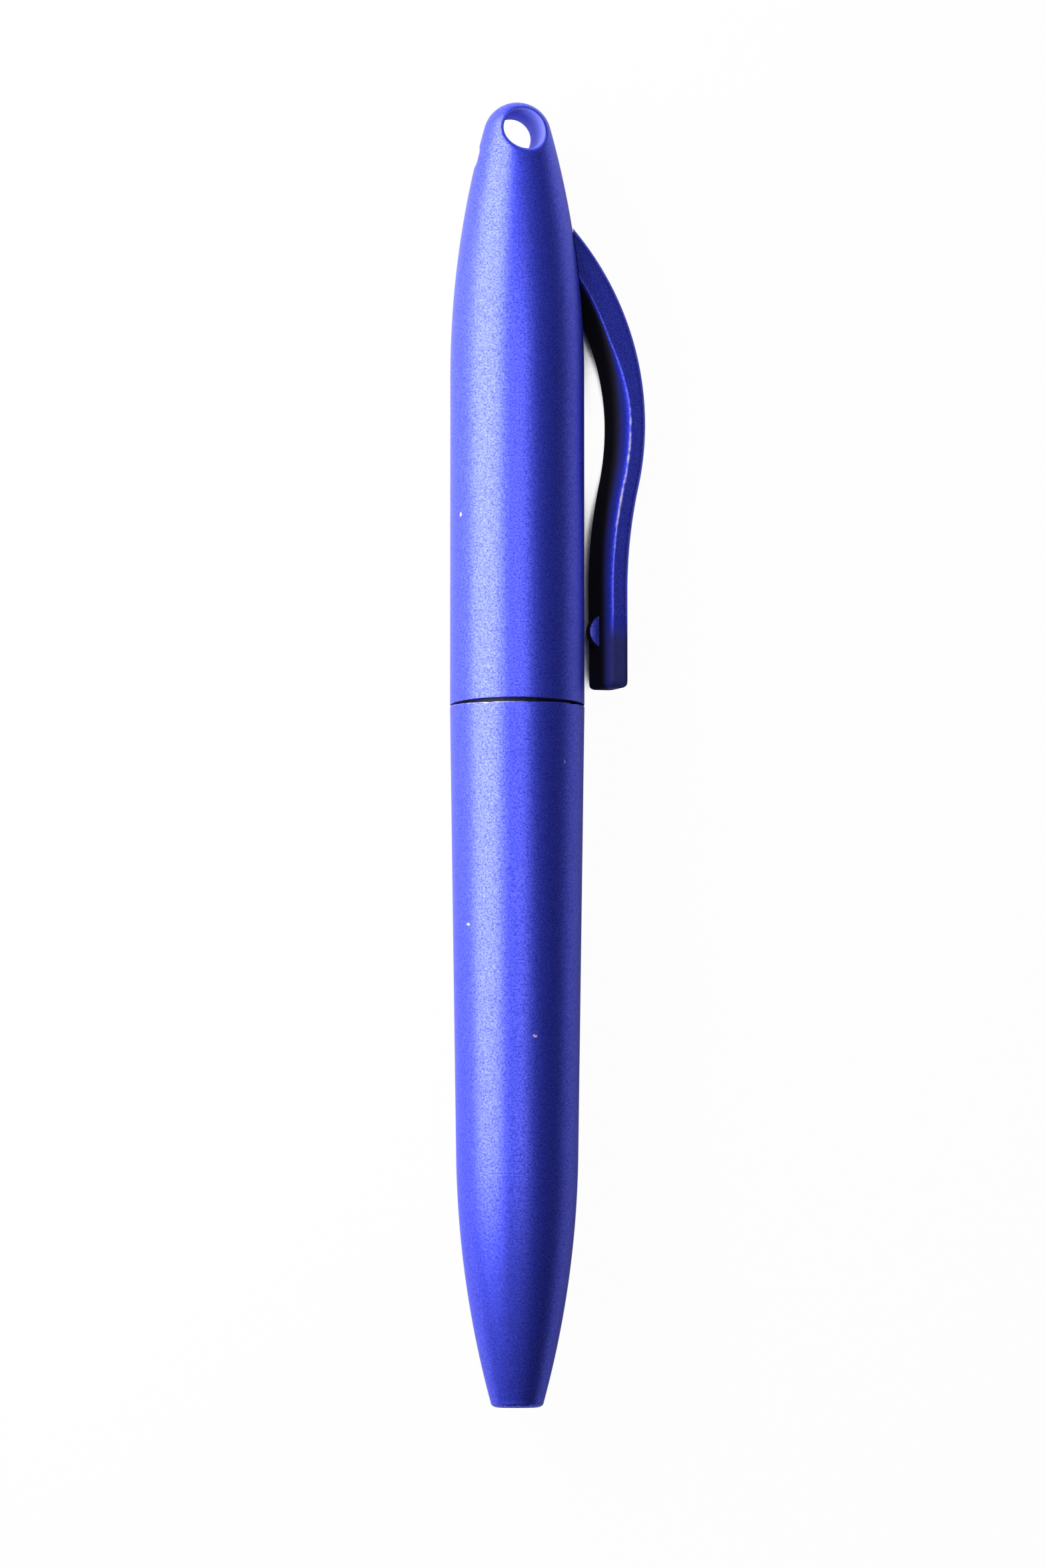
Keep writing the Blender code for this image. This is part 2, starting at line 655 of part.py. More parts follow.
def drag_ring():
    """Rubber ring on the collar that gives the twist its drag."""
    section_r = DRAG_RING_SECTION / 2
    major = cap_bore_r - DRAG_RING_GAP - section_r
    bpy.ops.mesh.primitive_torus_add(
        major_segments=SHELL_SEGMENTS,
        minor_segments=RING_SEGMENTS,
        major_radius=major,
        minor_radius=section_r,
    )
    made = bpy.context.object
    mesh = made.data
    bpy.data.objects.remove(made, do_unlink=True)
    mesh.name = "drag_ring"
    smooth(mesh)
    add("drag_ring", mesh, pen_frame, rubber, (0, 0, collar_z + DRAG_RING_HEIGHT))


def retaining_ring():
    """Split spring ring in the guide's groove, which holds the cam sleeve down."""
    inner_r = guide_r - CIRCLIP_GROOVE + SNUG_GAP
    start = CIRCLIP_OPENING / 2
    end = 2 * math.pi - start
    outline = arc((0, 0), inner_r + CIRCLIP_WIDTH, start, end, 3 * ARC_STEPS)
    outline += arc((0, 0), inner_r, end, start, 3 * ARC_STEPS)
    level = Matrix.Translation((0, 0, circlip_z + CIRCLIP_THICKNESS / 2))
    plate("retaining_ring", outline, CIRCLIP_THICKNESS, level, pen_frame, steel)


def return_spring():
    """Coil between the guide's ledge and the carrier, which takes up the play of the pin."""
    low = ledge_z + FIT_GAP + SPRING_WIRE / 2
    high = carrier_z - FIT_GAP - SPRING_WIRE / 2
    mean_r = (guide_bore_r + refill_r) / 2
    count = SPRING_TURNS * COIL_POINTS
    route = []
    for i in range(count + 1):
        a = 2 * math.pi * i / COIL_POINTS
        route.append(Vector((mean_r * math.cos(a), mean_r * math.sin(a), low + (high - low) * i / count)))
    gap = min(
        (route[i] - route[j]).length
        for i in range(len(route))
        for j in range(i + COIL_POINTS // 2, len(route))
    )
    print(f"return_spring: least gap to itself {1000 * (gap - SPRING_WIRE):.2f} mm")
    curve = bpy.data.curves.new("return_spring", "CURVE")
    curve.dimensions = "3D"
    curve.bevel_depth = SPRING_WIRE / 2
    curve.bevel_resolution = 1
    curve.use_fill_caps = True
    spline = curve.splines.new("POLY")
    spline.points.add(len(route) - 1)
    for point, place in zip(spline.points, route):
        point.co = (*place, 1)
    add("return_spring", curve, pen_frame, steel)


def refill():
    """Metal refill: tube, ball seat, writing ball and the ink behind it."""
    bore_r = REFILL_BORE / 2
    shank_r = bore_r - SNUG_GAP
    channel_r = INK_CHANNEL_DIAMETER / 2
    shoulder_z = TIP_RETRACTED + TIP_LENGTH
    shank_z = shoulder_z + TIP_SHANK_LENGTH
    ball_r = BALL_DIAMETER / 2
    ball_z = TIP_RETRACTED + ball_r
    seat_r = ball_r + BALL_GAP
    lip_z = TIP_RETRACTED + BALL_STANDOUT
    lip_angle = -math.acos((ball_z - lip_z) / seat_r) + math.pi / 2
    channel_angle = math.acos(channel_r / seat_r)
    seat = arc((0, ball_z), seat_r, -lip_angle, channel_angle, ARC_STEPS)
    cone_r = TIP_CONE_DIAMETER / 2
    cone_z = TIP_RETRACTED + TIP_CONE_LENGTH
    tip = [
        (shank_r, shank_z),
        (shank_r, shoulder_z),
        (refill_r, shoulder_z),
        (refill_r, cone_z + TIP_SHOULDER_LENGTH),
        (cone_r, cone_z),
        (seat[0][0] + BALL_GAP, lip_z),
    ]
    turned("refill_tip", tip + seat + [(channel_r, shank_z)], REFILL_SEGMENTS, feed_axis, nickel_silver)
    tube_z = shoulder_z + SNUG_GAP
    tube = [(refill_r, tail_z), (refill_r, tube_z), (bore_r, tube_z), (bore_r, tail_z)]
    turned("refill_tube", tube, REFILL_SEGMENTS, feed_axis, brass)
    ink_z = shank_z + FIT_GAP
    column = [(0, ink_z + INK_LENGTH), (shank_r, ink_z + INK_LENGTH), (shank_r, ink_z), (0, ink_z)]
    turned("ink_column", column, REFILL_SEGMENTS, feed_axis, ink, closed=False)
    bm = bmesh.new()
    bmesh.ops.create_uvsphere(bm, u_segments=PIN_SEGMENTS, v_segments=BALL_RINGS, radius=ball_r)
    from_bmesh("writing_ball", bm, feed_axis, carbide, (0, 0, ball_z))


lower_barrel()
upper_barrel()
clip()
guide_sleeve()
cam_sleeve()
carrier()
drag_ring()
retaining_ring()
return_spring()
refill()

bpy.context.view_layer.update()
for axis in (pen_frame, clip_pivot):
    print(axis.name, [round(v, 6) for v in axis.matrix_world.translation])
print("clip hinge axis", [round(v, 6) for v in clip_pivot.matrix_world.to_3x3() @ Vector((0, 1, 0))])
print("roll", round(math.degrees(roll), 3), "spring seat", round(ledge_z - crown_z / 2, 6))
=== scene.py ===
# %% [markdown]
# # A short twist-action ballpoint pen
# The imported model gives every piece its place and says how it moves. This
# lesson keeps that frame and dresses it. The pieces that show are made again as
# fine surfaces worked out with numpy. The hidden works keep their own meshes
# and get materials.

# %% Load the frame
import math

import bmesh
import bpy
import numpy as np
from mathutils import Matrix


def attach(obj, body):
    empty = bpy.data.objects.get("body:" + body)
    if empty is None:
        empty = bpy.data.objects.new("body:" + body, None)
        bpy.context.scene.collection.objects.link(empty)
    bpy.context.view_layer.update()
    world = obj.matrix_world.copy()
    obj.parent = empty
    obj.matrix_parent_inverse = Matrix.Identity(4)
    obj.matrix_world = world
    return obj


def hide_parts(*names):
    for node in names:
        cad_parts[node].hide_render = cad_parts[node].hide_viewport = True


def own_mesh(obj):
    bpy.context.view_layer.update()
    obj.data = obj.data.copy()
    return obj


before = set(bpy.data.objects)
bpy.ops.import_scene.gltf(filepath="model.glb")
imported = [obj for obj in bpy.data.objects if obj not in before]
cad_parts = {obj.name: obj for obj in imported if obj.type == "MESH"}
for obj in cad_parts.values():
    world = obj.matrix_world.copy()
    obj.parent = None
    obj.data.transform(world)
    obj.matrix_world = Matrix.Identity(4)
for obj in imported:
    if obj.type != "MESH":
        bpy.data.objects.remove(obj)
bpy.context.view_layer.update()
print("nodes in the frame:", sorted(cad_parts))

# %% [markdown]
# ## The pen's own frame
# A pen is easiest to describe standing up: z runs from the nose to the crown, x
# points at the clip, and y goes across. All sizes below are millimetres in that
# frame. One function then lays the finished points down along world Y and rolls
# them until clip and barrel touch the floor together, as they do in the frame.

# %% Sizes and the resting place
MM = 0.001
BODY_R = 5.4
CROWN_Z = 105.0
CLIP_WIDTH = 4.2
CLIP_REACH = 10.4
CLIP_OUTER_EDGE = 0.5

edge_reach = CLIP_REACH - CLIP_OUTER_EDGE
edge_side = CLIP_WIDTH / 2 - CLIP_OUTER_EDGE
edge_drop = (BODY_R - CLIP_OUTER_EDGE) / math.hypot(edge_reach, edge_side)
ROLL = math.asin(edge_drop) - math.atan2(edge_side, edge_reach)
clip_side = edge_reach * math.cos(ROLL) + edge_side * math.sin(ROLL) + CLIP_OUTER_EDGE
AXIS_X = (BODY_R - clip_side) / 2


def lay_down(points):
    """World metres of upright millimetre points: roll about the pen's axis, then lie along Y."""
    x, y, z = points[..., 0], points[..., 1], points[..., 2]
    across = AXIS_X + x * math.cos(ROLL) - y * math.sin(ROLL)
    height = BODY_R - x * math.sin(ROLL) - y * math.cos(ROLL)
    return MM * np.stack((across, z - CROWN_Z / 2, height), axis=-1)


print(f"rolled by {math.degrees(ROLL):.2f} degrees, axis at x = {AXIS_X:.3f} mm")

# %% [markdown]
# ## From grids to meshes
# A surface here is a grid of points: rows along one parameter, columns along
# the other. Neighbouring points become quads, and points that fall on each
# other are welded, so poles and seams close by themselves. A point may carry two
# more numbers for its finish: a pale mark for worn lacquer and for painted
# highlights, negative where it was sprayed thin, and how far it is painted dark,
# mostly as painted shade. They are kept at the corners of the faces, because a
# Boolean carries them over cleanly from there.

# %% Mesh helpers
WELD = 2e-8
SHARP = math.radians(38)
FINISH = ("wear_and_highlight", "darkened")


def grid_quads(rows, columns, wrap_rows, wrap_columns, first):
    """Corner numbers of the quads between neighbouring points of one grid."""
    index = first + np.arange(rows * columns).reshape(rows, columns)
    if wrap_rows:
        index = np.vstack((index, index[:1]))
    if wrap_columns:
        index = np.hstack((index, index[:, :1]))
    corners = (index[:-1, :-1], index[1:, :-1], index[1:, 1:], index[:-1, 1:])
    return np.stack(corners, axis=-1).reshape(-1, 4)


def welded(points, quads):
    """Merges coincident points. A quad that loses a corner becomes a triangle."""
    keys = np.round(points[:, :3] / WELD).astype(np.int64)
    _, kept, back = np.unique(keys, axis=0, return_index=True, return_inverse=True)
    quads = back.reshape(-1)[quads]
    same = quads == np.roll(quads, -1, axis=1)
    faces = quads[same.sum(axis=1) == 0].tolist()
    for corner in range(4):
        pinched = quads[same[:, corner] & (same.sum(axis=1) == 1)]
        faces += np.delete(pinched, corner, axis=1).tolist()
    return points[kept], faces


def shade(mesh):
    """Smooth shading, with true corners left sharp."""
    mesh.shade_smooth()
    mesh.set_sharp_from_angle(angle=SHARP)


def surface(name, grids):
    """An object from grids of upright points: (points, wrap_rows, wrap_columns) each."""
    points, quads, first = [], [], 0
    for grid, wrap_rows, wrap_columns in grids:
        rows, columns, depth = grid.shape
        blank = np.zeros((rows, columns, 3 + len(FINISH) - depth))
        full = np.concatenate((lay_down(grid), grid[..., 3:], blank), axis=-1)
        points.append(full.reshape(rows * columns, -1))
        quads.append(grid_quads(rows, columns, wrap_rows, wrap_columns, first))
        first += rows * columns
    points, faces = welded(np.concatenate(points), np.concatenate(quads))
    mesh = bpy.data.meshes.new(name)
    mesh.from_pydata(points[:, :3].tolist(), [], faces)
    bm = bmesh.new()
    bm.from_mesh(mesh)
    bmesh.ops.recalc_face_normals(bm, faces=bm.faces)
    bm.to_mesh(mesh)
    bm.free()
    corners = np.empty(len(mesh.loops), np.int32)
    mesh.loops.foreach_get("vertex_index", corners)
    for channel, finish in enumerate(FINISH, start=3):
        value = mesh.attributes.new(finish, "FLOAT", "CORNER")
        value.data.foreach_set("value", points[corners, channel].astype(np.float32))
    shade(mesh)
    piece = bpy.data.objects.new(name, mesh)
    bpy.context.scene.collection.objects.link(piece)
    print(f"{name}: {len(points)} points, {len(faces)} faces")
    return piece


# %% [markdown]
# ## Dressing and carving
# Every new piece gets its material and the body that it rides on, and the nodes
# that it stands for are hidden, so one function does all of that. Where a shape is
# joined on or cut out, a Boolean modifier does it, and the result is kept as plain
# mesh, so that nothing depends on the tool shape afterwards.


# %% Dressing and carving
def dress(piece, body, slot, material, *nodes):
    """Gives a piece its material and the body it rides on, and hides the nodes it stands for."""
    piece.data.materials.clear()
    piece.data.materials.append(material)
    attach(piece, body)
    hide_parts(*nodes)


def carve(piece, tool, operation):
    """Cuts a tool shape out of a piece, or joins it on, and keeps the result as plain mesh."""
    modifier = piece.modifiers.new(tool.name, "BOOLEAN")
    modifier.operation = operation
    modifier.solver = "EXACT"
    modifier.object = tool
    bpy.context.view_layer.update()
    seen = piece.evaluated_get(bpy.context.evaluated_depsgraph_get())
    mesh = bpy.data.meshes.new_from_object(seen)
    piece.modifiers.clear()
    piece.data = mesh
    bpy.data.objects.remove(tool, do_unlink=True)
    shade(mesh)
    print(f"{piece.name}: {len(mesh.polygons)} faces after {operation.lower()}")


# %% [markdown]
# ## Profiles
# A turned piece is a profile of (radius, height) points carried round the axis.
# Profiles are put together from straight runs and arcs, each with as many
# points as its curve needs.

# %% Profile helpers
TURN = 256


def run(start, end, count=2):
    """Points on a straight line from start to end."""
    return np.linspace(start, end, count)


def arc(centre, radius, first, last, count):
    """Points on an arc: centre plus radius times cosine and sine of evenly spaced angles."""
    angle = np.linspace(first, last, count)
    across, up = centre[0] + radius * np.cos(angle), centre[1] + radius * np.sin(angle)
    return np.stack((across, up), axis=-1)


def profile(*pieces):
    """Joins runs and arcs, leaving out points that repeat the one before."""
    points = np.concatenate([np.asarray(p, float).reshape(-1, 2) for p in pieces])
    step = np.linalg.norm(np.diff(points, axis=0), axis=1)
    return points[np.concatenate(([True], step > 1e-6))]


def spun(points, turn=TURN):
    """Carries a profile round the axis: x = r cos t, y = r sin t, with t over a full turn."""
    t = 2 * np.pi * np.arange(turn) / turn
    r, z = points[:, :1], np.broadcast_to(points[:, 1:], (len(points), turn))
    return np.stack((r * np.cos(t), r * np.sin(t), z), axis=-1)


# %% [markdown]
# ## The lower barrel
# A moulded tube, a straight taper that draws in over a long curve to a
# square-cut nose. It is one closed profile: down the outside, round the nose,
# up the bore and over the rim. Round the nose the lacquer has worn through. At
# the rim it has worn too, and its pale mark is kept to the side away from the
# clip, where the light falls, so there it is partly a painted highlight. Both
# carry the wear value, and their small chips are real dips. The chips come from
# waves round the axis that share no period, so they look uneven.

# %% Lower barrel
RIM_Z = 56.03
TAPER_Z, TAPER_R = 20.0, 4.885
NOSE_R, NOSE_CORNER_Z, NOSE_FLAT_R = 2.12, 0.4, 1.5
RIM_ROUND = 0.06
HOLE_R, HOLE_ROUND = 1.325, 0.06
LAND_Z, BORE_R = 2.5, 3.935
CHIP_DEPTH, RIM_REACH = 0.05, 0.12
RIM_PALE_AND_LIT, CHIP_PALE_AND_LIT, NOSE_BARE = 0.66, 0.34, 0.6
LIT_SIDE = 0.6
SOCKET_Z, SOCKET_R = 40.93, 4.3

slope = math.atan2(BODY_R - TAPER_R, RIM_Z - TAPER_Z)
reach = np.array((NOSE_R - TAPER_R, NOSE_CORNER_Z - TAPER_Z))
inward = np.array((-math.cos(slope), math.sin(slope)))
nose_radius = reach @ reach / (2 * reach @ inward)
nose_centre = np.array((TAPER_R, TAPER_Z)) + inward * nose_radius
nose_angle = math.asin((NOSE_CORNER_Z - nose_centre[1]) / nose_radius)
edge = np.linspace(0, np.pi / 2, 16)
nose_edge = np.stack((
    NOSE_FLAT_R + (NOSE_R - NOSE_FLAT_R) * np.cos(edge),
    NOSE_CORNER_Z * (1 - np.sin(edge)),
), axis=-1)
outside = profile(
    arc((BODY_R - RIM_ROUND, RIM_Z - RIM_ROUND), RIM_ROUND, math.pi / 2, -slope, 10),
    run((BODY_R, RIM_Z - 0.3), (TAPER_R, TAPER_Z), 40),
    arc(nose_centre, nose_radius, -slope, nose_angle, 72),
    nose_edge,
)
inside = profile(
    arc((HOLE_R + HOLE_ROUND, HOLE_ROUND), HOLE_ROUND, -math.pi / 2, -math.pi, 6),
    run((HOLE_R, LAND_Z), (BORE_R, TAPER_Z), 6),
    run((BORE_R, SOCKET_Z), (SOCKET_R, SOCKET_Z)),
    run((SOCKET_R, RIM_Z - 0.05), (SOCKET_R + 0.05, RIM_Z)),
)
barrel_grid = spun(profile(outside, inside))
from_axis = np.linalg.norm(barrel_grid[..., :2], axis=-1)
around = np.arctan2(barrel_grid[..., 1], barrel_grid[..., 0])
to_rim = RIM_Z - barrel_grid[..., 2]
at_rim = np.exp(-np.clip(to_rim, 0, None) / RIM_REACH)
at_rim *= from_axis > SOCKET_R + 0.2
chips = np.sin(5 * around) * np.sin(13 * around + 1.3) + 0.3 * np.sin(31 * around) - 0.3
chips = np.clip(chips, 0, 1)
barrel_grid[..., 2] -= CHIP_DEPTH * at_rim * chips
on_nose = np.clip(1 - barrel_grid[..., 2] / NOSE_CORNER_Z, 0, 1) * (from_axis > NOSE_FLAT_R)
nose_chips = np.clip(np.sin(9 * around) + np.sin(23 * around + 0.8), 0, 2)
barrel_grid[..., 2] += CHIP_DEPTH * on_nose * nose_chips
# Painted highlight: the rim's pale mark fades out towards the clip, away from the light.
lit_side = np.clip(LIT_SIDE - barrel_grid[..., 0] / BODY_R, 0, 1)
wear_and_lit_rim = at_rim * (RIM_PALE_AND_LIT + CHIP_PALE_AND_LIT * chips) * lit_side + NOSE_BARE * on_nose * chips
barrel_grid = np.concatenate((barrel_grid, wear_and_lit_rim[..., None]), axis=-1)
lower_barrel = surface("lower_barrel_shell", [(barrel_grid, True, True)])

# %% [markdown]
# ## The upper barrel
# A moulded tube, straight for half its length, then drawn in along one large arc
# to a round crown. The turned part, the crown and the root of the clip all need
# this outline, so it is worked out once, as a function of the height.

# %% Outline of the upper barrel
CAP_Z = 56.15
OGIVE_Z = 82.7
CROWN_R = 2.75
DOME_Z = CROWN_Z - CROWN_R
EYE_Z = 102.4
CAP_BORE_R = 4.625
CAVITY_Z, CAVITY_WALL = 97.525, 1.0

ogive_rise = DOME_Z - OGIVE_Z
ogive_radius = (BODY_R**2 - CROWN_R**2 + ogive_rise**2) / (2 * (BODY_R - CROWN_R))
ogive_centre = (BODY_R - ogive_radius, OGIVE_Z)
ogive_end = math.atan2(ogive_rise, ogive_radius - BODY_R)
crown_start = DOME_Z + CROWN_R * math.sin(ogive_end)


def cap_radius(z):
    """Outer radius at a height: straight, then the large arc, then the round crown."""
    z = np.asarray(z, float)
    drawn_in = ogive_centre[0] + np.sqrt(np.clip(ogive_radius**2 - (z - OGIVE_Z) ** 2, 0, None))
    crown = np.sqrt(np.clip(CROWN_R**2 - (z - DOME_Z) ** 2, 0, None))
    return np.where(z <= OGIVE_Z, BODY_R, np.where(z <= crown_start, drawn_in, crown))


print(f"drawn-in arc of {ogive_radius:.1f} mm radius, crown from z = {crown_start:.2f} mm")

# %% [markdown]
# ## The crown and its cord hole
# A hole across the crown takes a cord. A hole through a turned shape is usually
# cut with a Boolean, but that leaves a knife edge. Here each half of the crown is a
# sheet of rays that start on the outline, run over the surface to the mouth of the
# hole, round its lip and go down the wall to the middle. The hole slopes a little,
# so one mouth lies higher than the other. Little spray got into its throat.

# %% Crown with the cord hole
EYE_R = 1.675
EYE_RISE = 0.13
MOUTH_ROUND = 0.45
SHEET_ROWS = 30
JOIN_Z = 98.0
THIN_SPRAY = -1.0

side_z = np.concatenate((
    np.linspace(JOIN_Z, DOME_Z, 60),
    DOME_Z + CROWN_R * np.sin(np.linspace(0, np.pi / 2, 50))[1:],
))
side_u = cap_radius(side_z)
side_u[-1] = 0.0
half_ring = np.pi * np.arange(TURN // 2 + 1) / (TURN // 2)
join_u = cap_radius(JOIN_Z) * np.cos(half_ring)
edge_u = np.concatenate((join_u, -side_u[1:], side_u[-2:0:-1]))
edge_z = np.concatenate((np.full(len(join_u), JOIN_Z), side_z[1:], side_z[-2:0:-1]))


def crown_half(mouth_z):
    """Half of the crown: (u, z) = mouth + distance * ray, w = root of (radius**2 - u**2)."""
    far = np.hypot(edge_u, edge_z - mouth_z)
    ray = np.stack((edge_u, edge_z - mouth_z)) / far
    near = EYE_R + MOUTH_ROUND
    sheet = near + (far - near) * np.sin(np.linspace(1, 0, SHEET_ROWS) * np.pi / 2)[:, None]
    bend = np.linspace(0, np.pi / 2, 9)[1:, None]
    lip = EYE_R + MOUTH_ROUND * (1 - np.sin(bend)) + 0 * far
    rho = np.concatenate((sheet, lip))
    u, z = rho * ray[0], mouth_z + rho * ray[1]
    w = np.sqrt(np.clip(cap_radius(z) ** 2 - u**2, 0, None))
    w[SHEET_ROWS:] -= MOUTH_ROUND * (1 - np.cos(bend))
    w[0, len(join_u) - 1:] = 0.0
    w[0, 0] = 0.0
    wall = np.linspace(1, 0, 8)[1:, None]
    thin = np.clip((EYE_R + 0.5 * MOUTH_ROUND - rho) / (0.5 * MOUTH_ROUND), 0, 1)
    shell = np.stack((u, w, z, THIN_SPRAY * thin), axis=-1)
    level = z[-1] + (EYE_Z - mouth_z) * (1 - wall)
    down = np.stack((u[-1] + 0 * wall, w[-1] * wall, level), axis=-1)
    down = np.concatenate((down, np.full(down.shape[:2] + (1,), THIN_SPRAY)), axis=-1)
    return np.concatenate((shell, down))


front = crown_half(EYE_Z + EYE_RISE)
back = crown_half(EYE_Z - EYE_RISE)[:-1][::-1] * (1, -1, 1, 1)
crown_grid = np.concatenate((front, back))
print(f"crown: {crown_grid.shape[0]} rows of {crown_grid.shape[1]} points")

# %% [markdown]
# ## The turned part of the upper barrel
# The rest is turned, on the same columns as the edge of the crown, so the two weld.
# The mould was filled beside the hole, and its gate left a shallow mark. The end
# face is drawn dark, and it arches a little on the upper side, so that the dark
# seam is widest in the middle.

# %% Turned part, welded to the crown
EYE_TURN = math.radians(-3.5)
GATE_DEPTH, GATE_HALF = 0.17, 0.75
GATE_TOP, GATE_TOP_EASE = 101.15, 0.6
GATE_FOOT, GATE_FOOT_EASE = 99.65, 0.4
GATE_ANGLE = math.radians(160)
END_FACE_DARK = 0.85
RIM_DROP, RIM_ARCH, ARCH_FADE = 0.03, 0.24, 1.5

cavity_end = math.asin((CAVITY_Z - OGIVE_Z) / (ogive_radius - CAVITY_WALL))
join_angle = math.asin((JOIN_Z - OGIVE_Z) / ogive_radius)
sleeve = profile(
    arc(ogive_centre, ogive_radius, join_angle, 0, 60),
    run((BODY_R, OGIVE_Z), (BODY_R, CAP_Z + RIM_ROUND), 30),
    arc((BODY_R - RIM_ROUND, CAP_Z + RIM_ROUND), RIM_ROUND, 0, -math.pi / 2, 10),
    run((CAP_BORE_R + 0.05, CAP_Z), (CAP_BORE_R, CAP_Z + 0.05)),
    run((CAP_BORE_R, CAP_Z + 0.05), (CAP_BORE_R, OGIVE_Z - CAVITY_WALL), 6),
    arc(ogive_centre, ogive_radius - CAVITY_WALL, 0, cavity_end, 24),
    run((0.0, CAVITY_Z), (0.0, CAVITY_Z), 1),
)
sleeve[0] = (cap_radius(JOIN_Z), JOIN_Z)
turned_grid = spun(sleeve)
rim_face = (sleeve[:, 1] < CAP_Z + 0.6 * RIM_ROUND) & (sleeve[:, 0] < BODY_R - 0.4 * RIM_ROUND)
finish = np.zeros(turned_grid.shape[:2] + (2,))
# The end face is drawn dark.
finish[rim_face, :, 1] = END_FACE_DARK
turned_grid = np.concatenate((turned_grid, finish), axis=-1)


def eye_turned(grid):
    """Turns (u, w) by the hole's angle to (x, y), and presses the gate mark in towards the axis."""
    u, w, z = grid[..., 0], grid[..., 1], grid[..., 2]
    x = u * math.cos(EYE_TURN) + w * math.sin(EYE_TURN)
    y = u * math.sin(EYE_TURN) - w * math.cos(EYE_TURN)
    angle = np.arctan2(y, x) - GATE_ANGLE
    aside = np.hypot(x, y) * np.sin(angle) / GATE_HALF
    along = np.clip((GATE_TOP + GATE_TOP_EASE / 2 - z) / GATE_TOP_EASE, 0, 1)
    along = along * np.clip((z - GATE_FOOT) / GATE_FOOT_EASE, 0, 1)
    outer = np.hypot(x, y) > 0.9 * cap_radius(z)
    dent = GATE_DEPTH * along * np.exp(-(aside**2)) * (np.cos(angle) > 0) * outer
    shrink = 1 - dent / np.maximum(np.hypot(x, y), 0.5)
    place = np.stack((x * shrink, y * shrink, z), axis=-1)
    return np.concatenate((place, grid[..., 3:]), axis=-1)


sleeve_grid = eye_turned(turned_grid)
aside = np.maximum(np.hypot(sleeve_grid[..., 0], sleeve_grid[..., 1]), 0.1)
upward = -(sleeve_grid[..., 0] * math.sin(ROLL) + sleeve_grid[..., 1] * math.cos(ROLL)) / aside
rim_fade = np.exp((CAP_Z - sleeve_grid[..., 2]) / ARCH_FADE)
sleeve_grid[..., 2] += (RIM_ARCH * np.clip(upward, 0, 1) - RIM_DROP) * rim_fade
upper_barrel = surface("upper_barrel_shell", [
    (eye_turned(crown_grid), False, True),
    (sleeve_grid, False, True),
])

# %% [markdown]
# ## The clip
# A sprung strap, moulded in the same plastic: it leaves the barrel below the crown,
# bows out, sweeps back and ends in a straight foot. Its back is two arcs and a
# straight line. The strap is thickest at the root, where it bends the most.

# %% Line and thickness of the clip
ROOT_THICK, BOW_THICK, FOOT_THICK = 2.4, 2.15, 1.95
BOW_RADIUS, SWEEP_RADIUS = 22.8, 38.0
FOOT_REACH = 8.85
BOW_Z, TOE_Z = CAP_Z + 22.95, CAP_Z + 1.55

bow_x = CLIP_REACH - BOW_RADIUS
sweep_angle = math.acos(1 - (CLIP_REACH - FOOT_REACH) / (BOW_RADIUS + SWEEP_RADIUS))
sweep_z = BOW_Z - (BOW_RADIUS + SWEEP_RADIUS) * math.sin(sweep_angle)
heights = np.linspace(BOW_Z, DOME_Z, 20001)
bow_back = bow_x + np.sqrt(BOW_RADIUS**2 - np.clip(heights - BOW_Z, 0, BOW_RADIUS) ** 2)
root_z = heights[np.argmax(bow_back < cap_radius(heights))]


def clip_thickness(z):
    """Thickness that eases from the root's to the bow's and on to the foot's."""
    above = z > BOW_Z
    share = np.where(above, (z - BOW_Z) / (root_z - BOW_Z), (BOW_Z - z) / (BOW_Z - TOE_Z))
    share = np.clip(share, 0, 1)
    end = np.where(above, ROOT_THICK, FOOT_THICK)
    return BOW_THICK + (end - BOW_THICK) * share**2 * (3 - 2 * share)


print(f"strap meets the barrel at z = {root_z:.2f} mm")

# %% [markdown]
# ## Section of the clip
# The section is a rectangle with rounded corners, apart from one: on the side that
# faces up, a sharp crease turns into a dome that falls away to the inner face. That
# crease is the bright line along the clip, and it fades out towards the root. A
# curve with a bevel could carry one section along, but this one changes on its way,
# so it is a function of the height. Each column of points belongs to one corner, at
# an angle, or lies on the side between that corner and the next.

# %% Section of the clip
TOE_ROUND, TOE_EDGE = 0.6, 0.3
INNER_EDGE = 0.25
EDGE_DEPTH, CREASE_R, CREASE_TURN = 1.32, 0.16, math.radians(48)
CREASE_TOP_Z, CREASE_FADE = 90.0, 11.0
ROUND_LIMIT = 0.9
CORNER_STEPS = 10
SIDE_STEPS = (14, 5, 14, 5)


def round_inset(distance, radius):
    """How far a rounded end draws in at a distance from its tip."""
    left = radius - np.clip(distance, 0, radius)
    return radius - np.sqrt(radius**2 - left**2)


column_corner, column_angle, column_mix = [], [], []
for k, side_steps in enumerate(SIDE_STEPS):
    quarter = list(np.pi / 2 * (k + np.linspace(0, 1, CORNER_STEPS + 1)))
    column_corner += [k] * (CORNER_STEPS + 1 + side_steps)
    column_angle += quarter + [np.pi / 2 * (k + 1)] * side_steps
    column_mix += [0.0] * (CORNER_STEPS + 1) + list(np.linspace(0, 1, side_steps + 2)[1:-1])
column_corner, column_angle = np.array(column_corner), np.array(column_angle)
column_mix = np.array(column_mix)


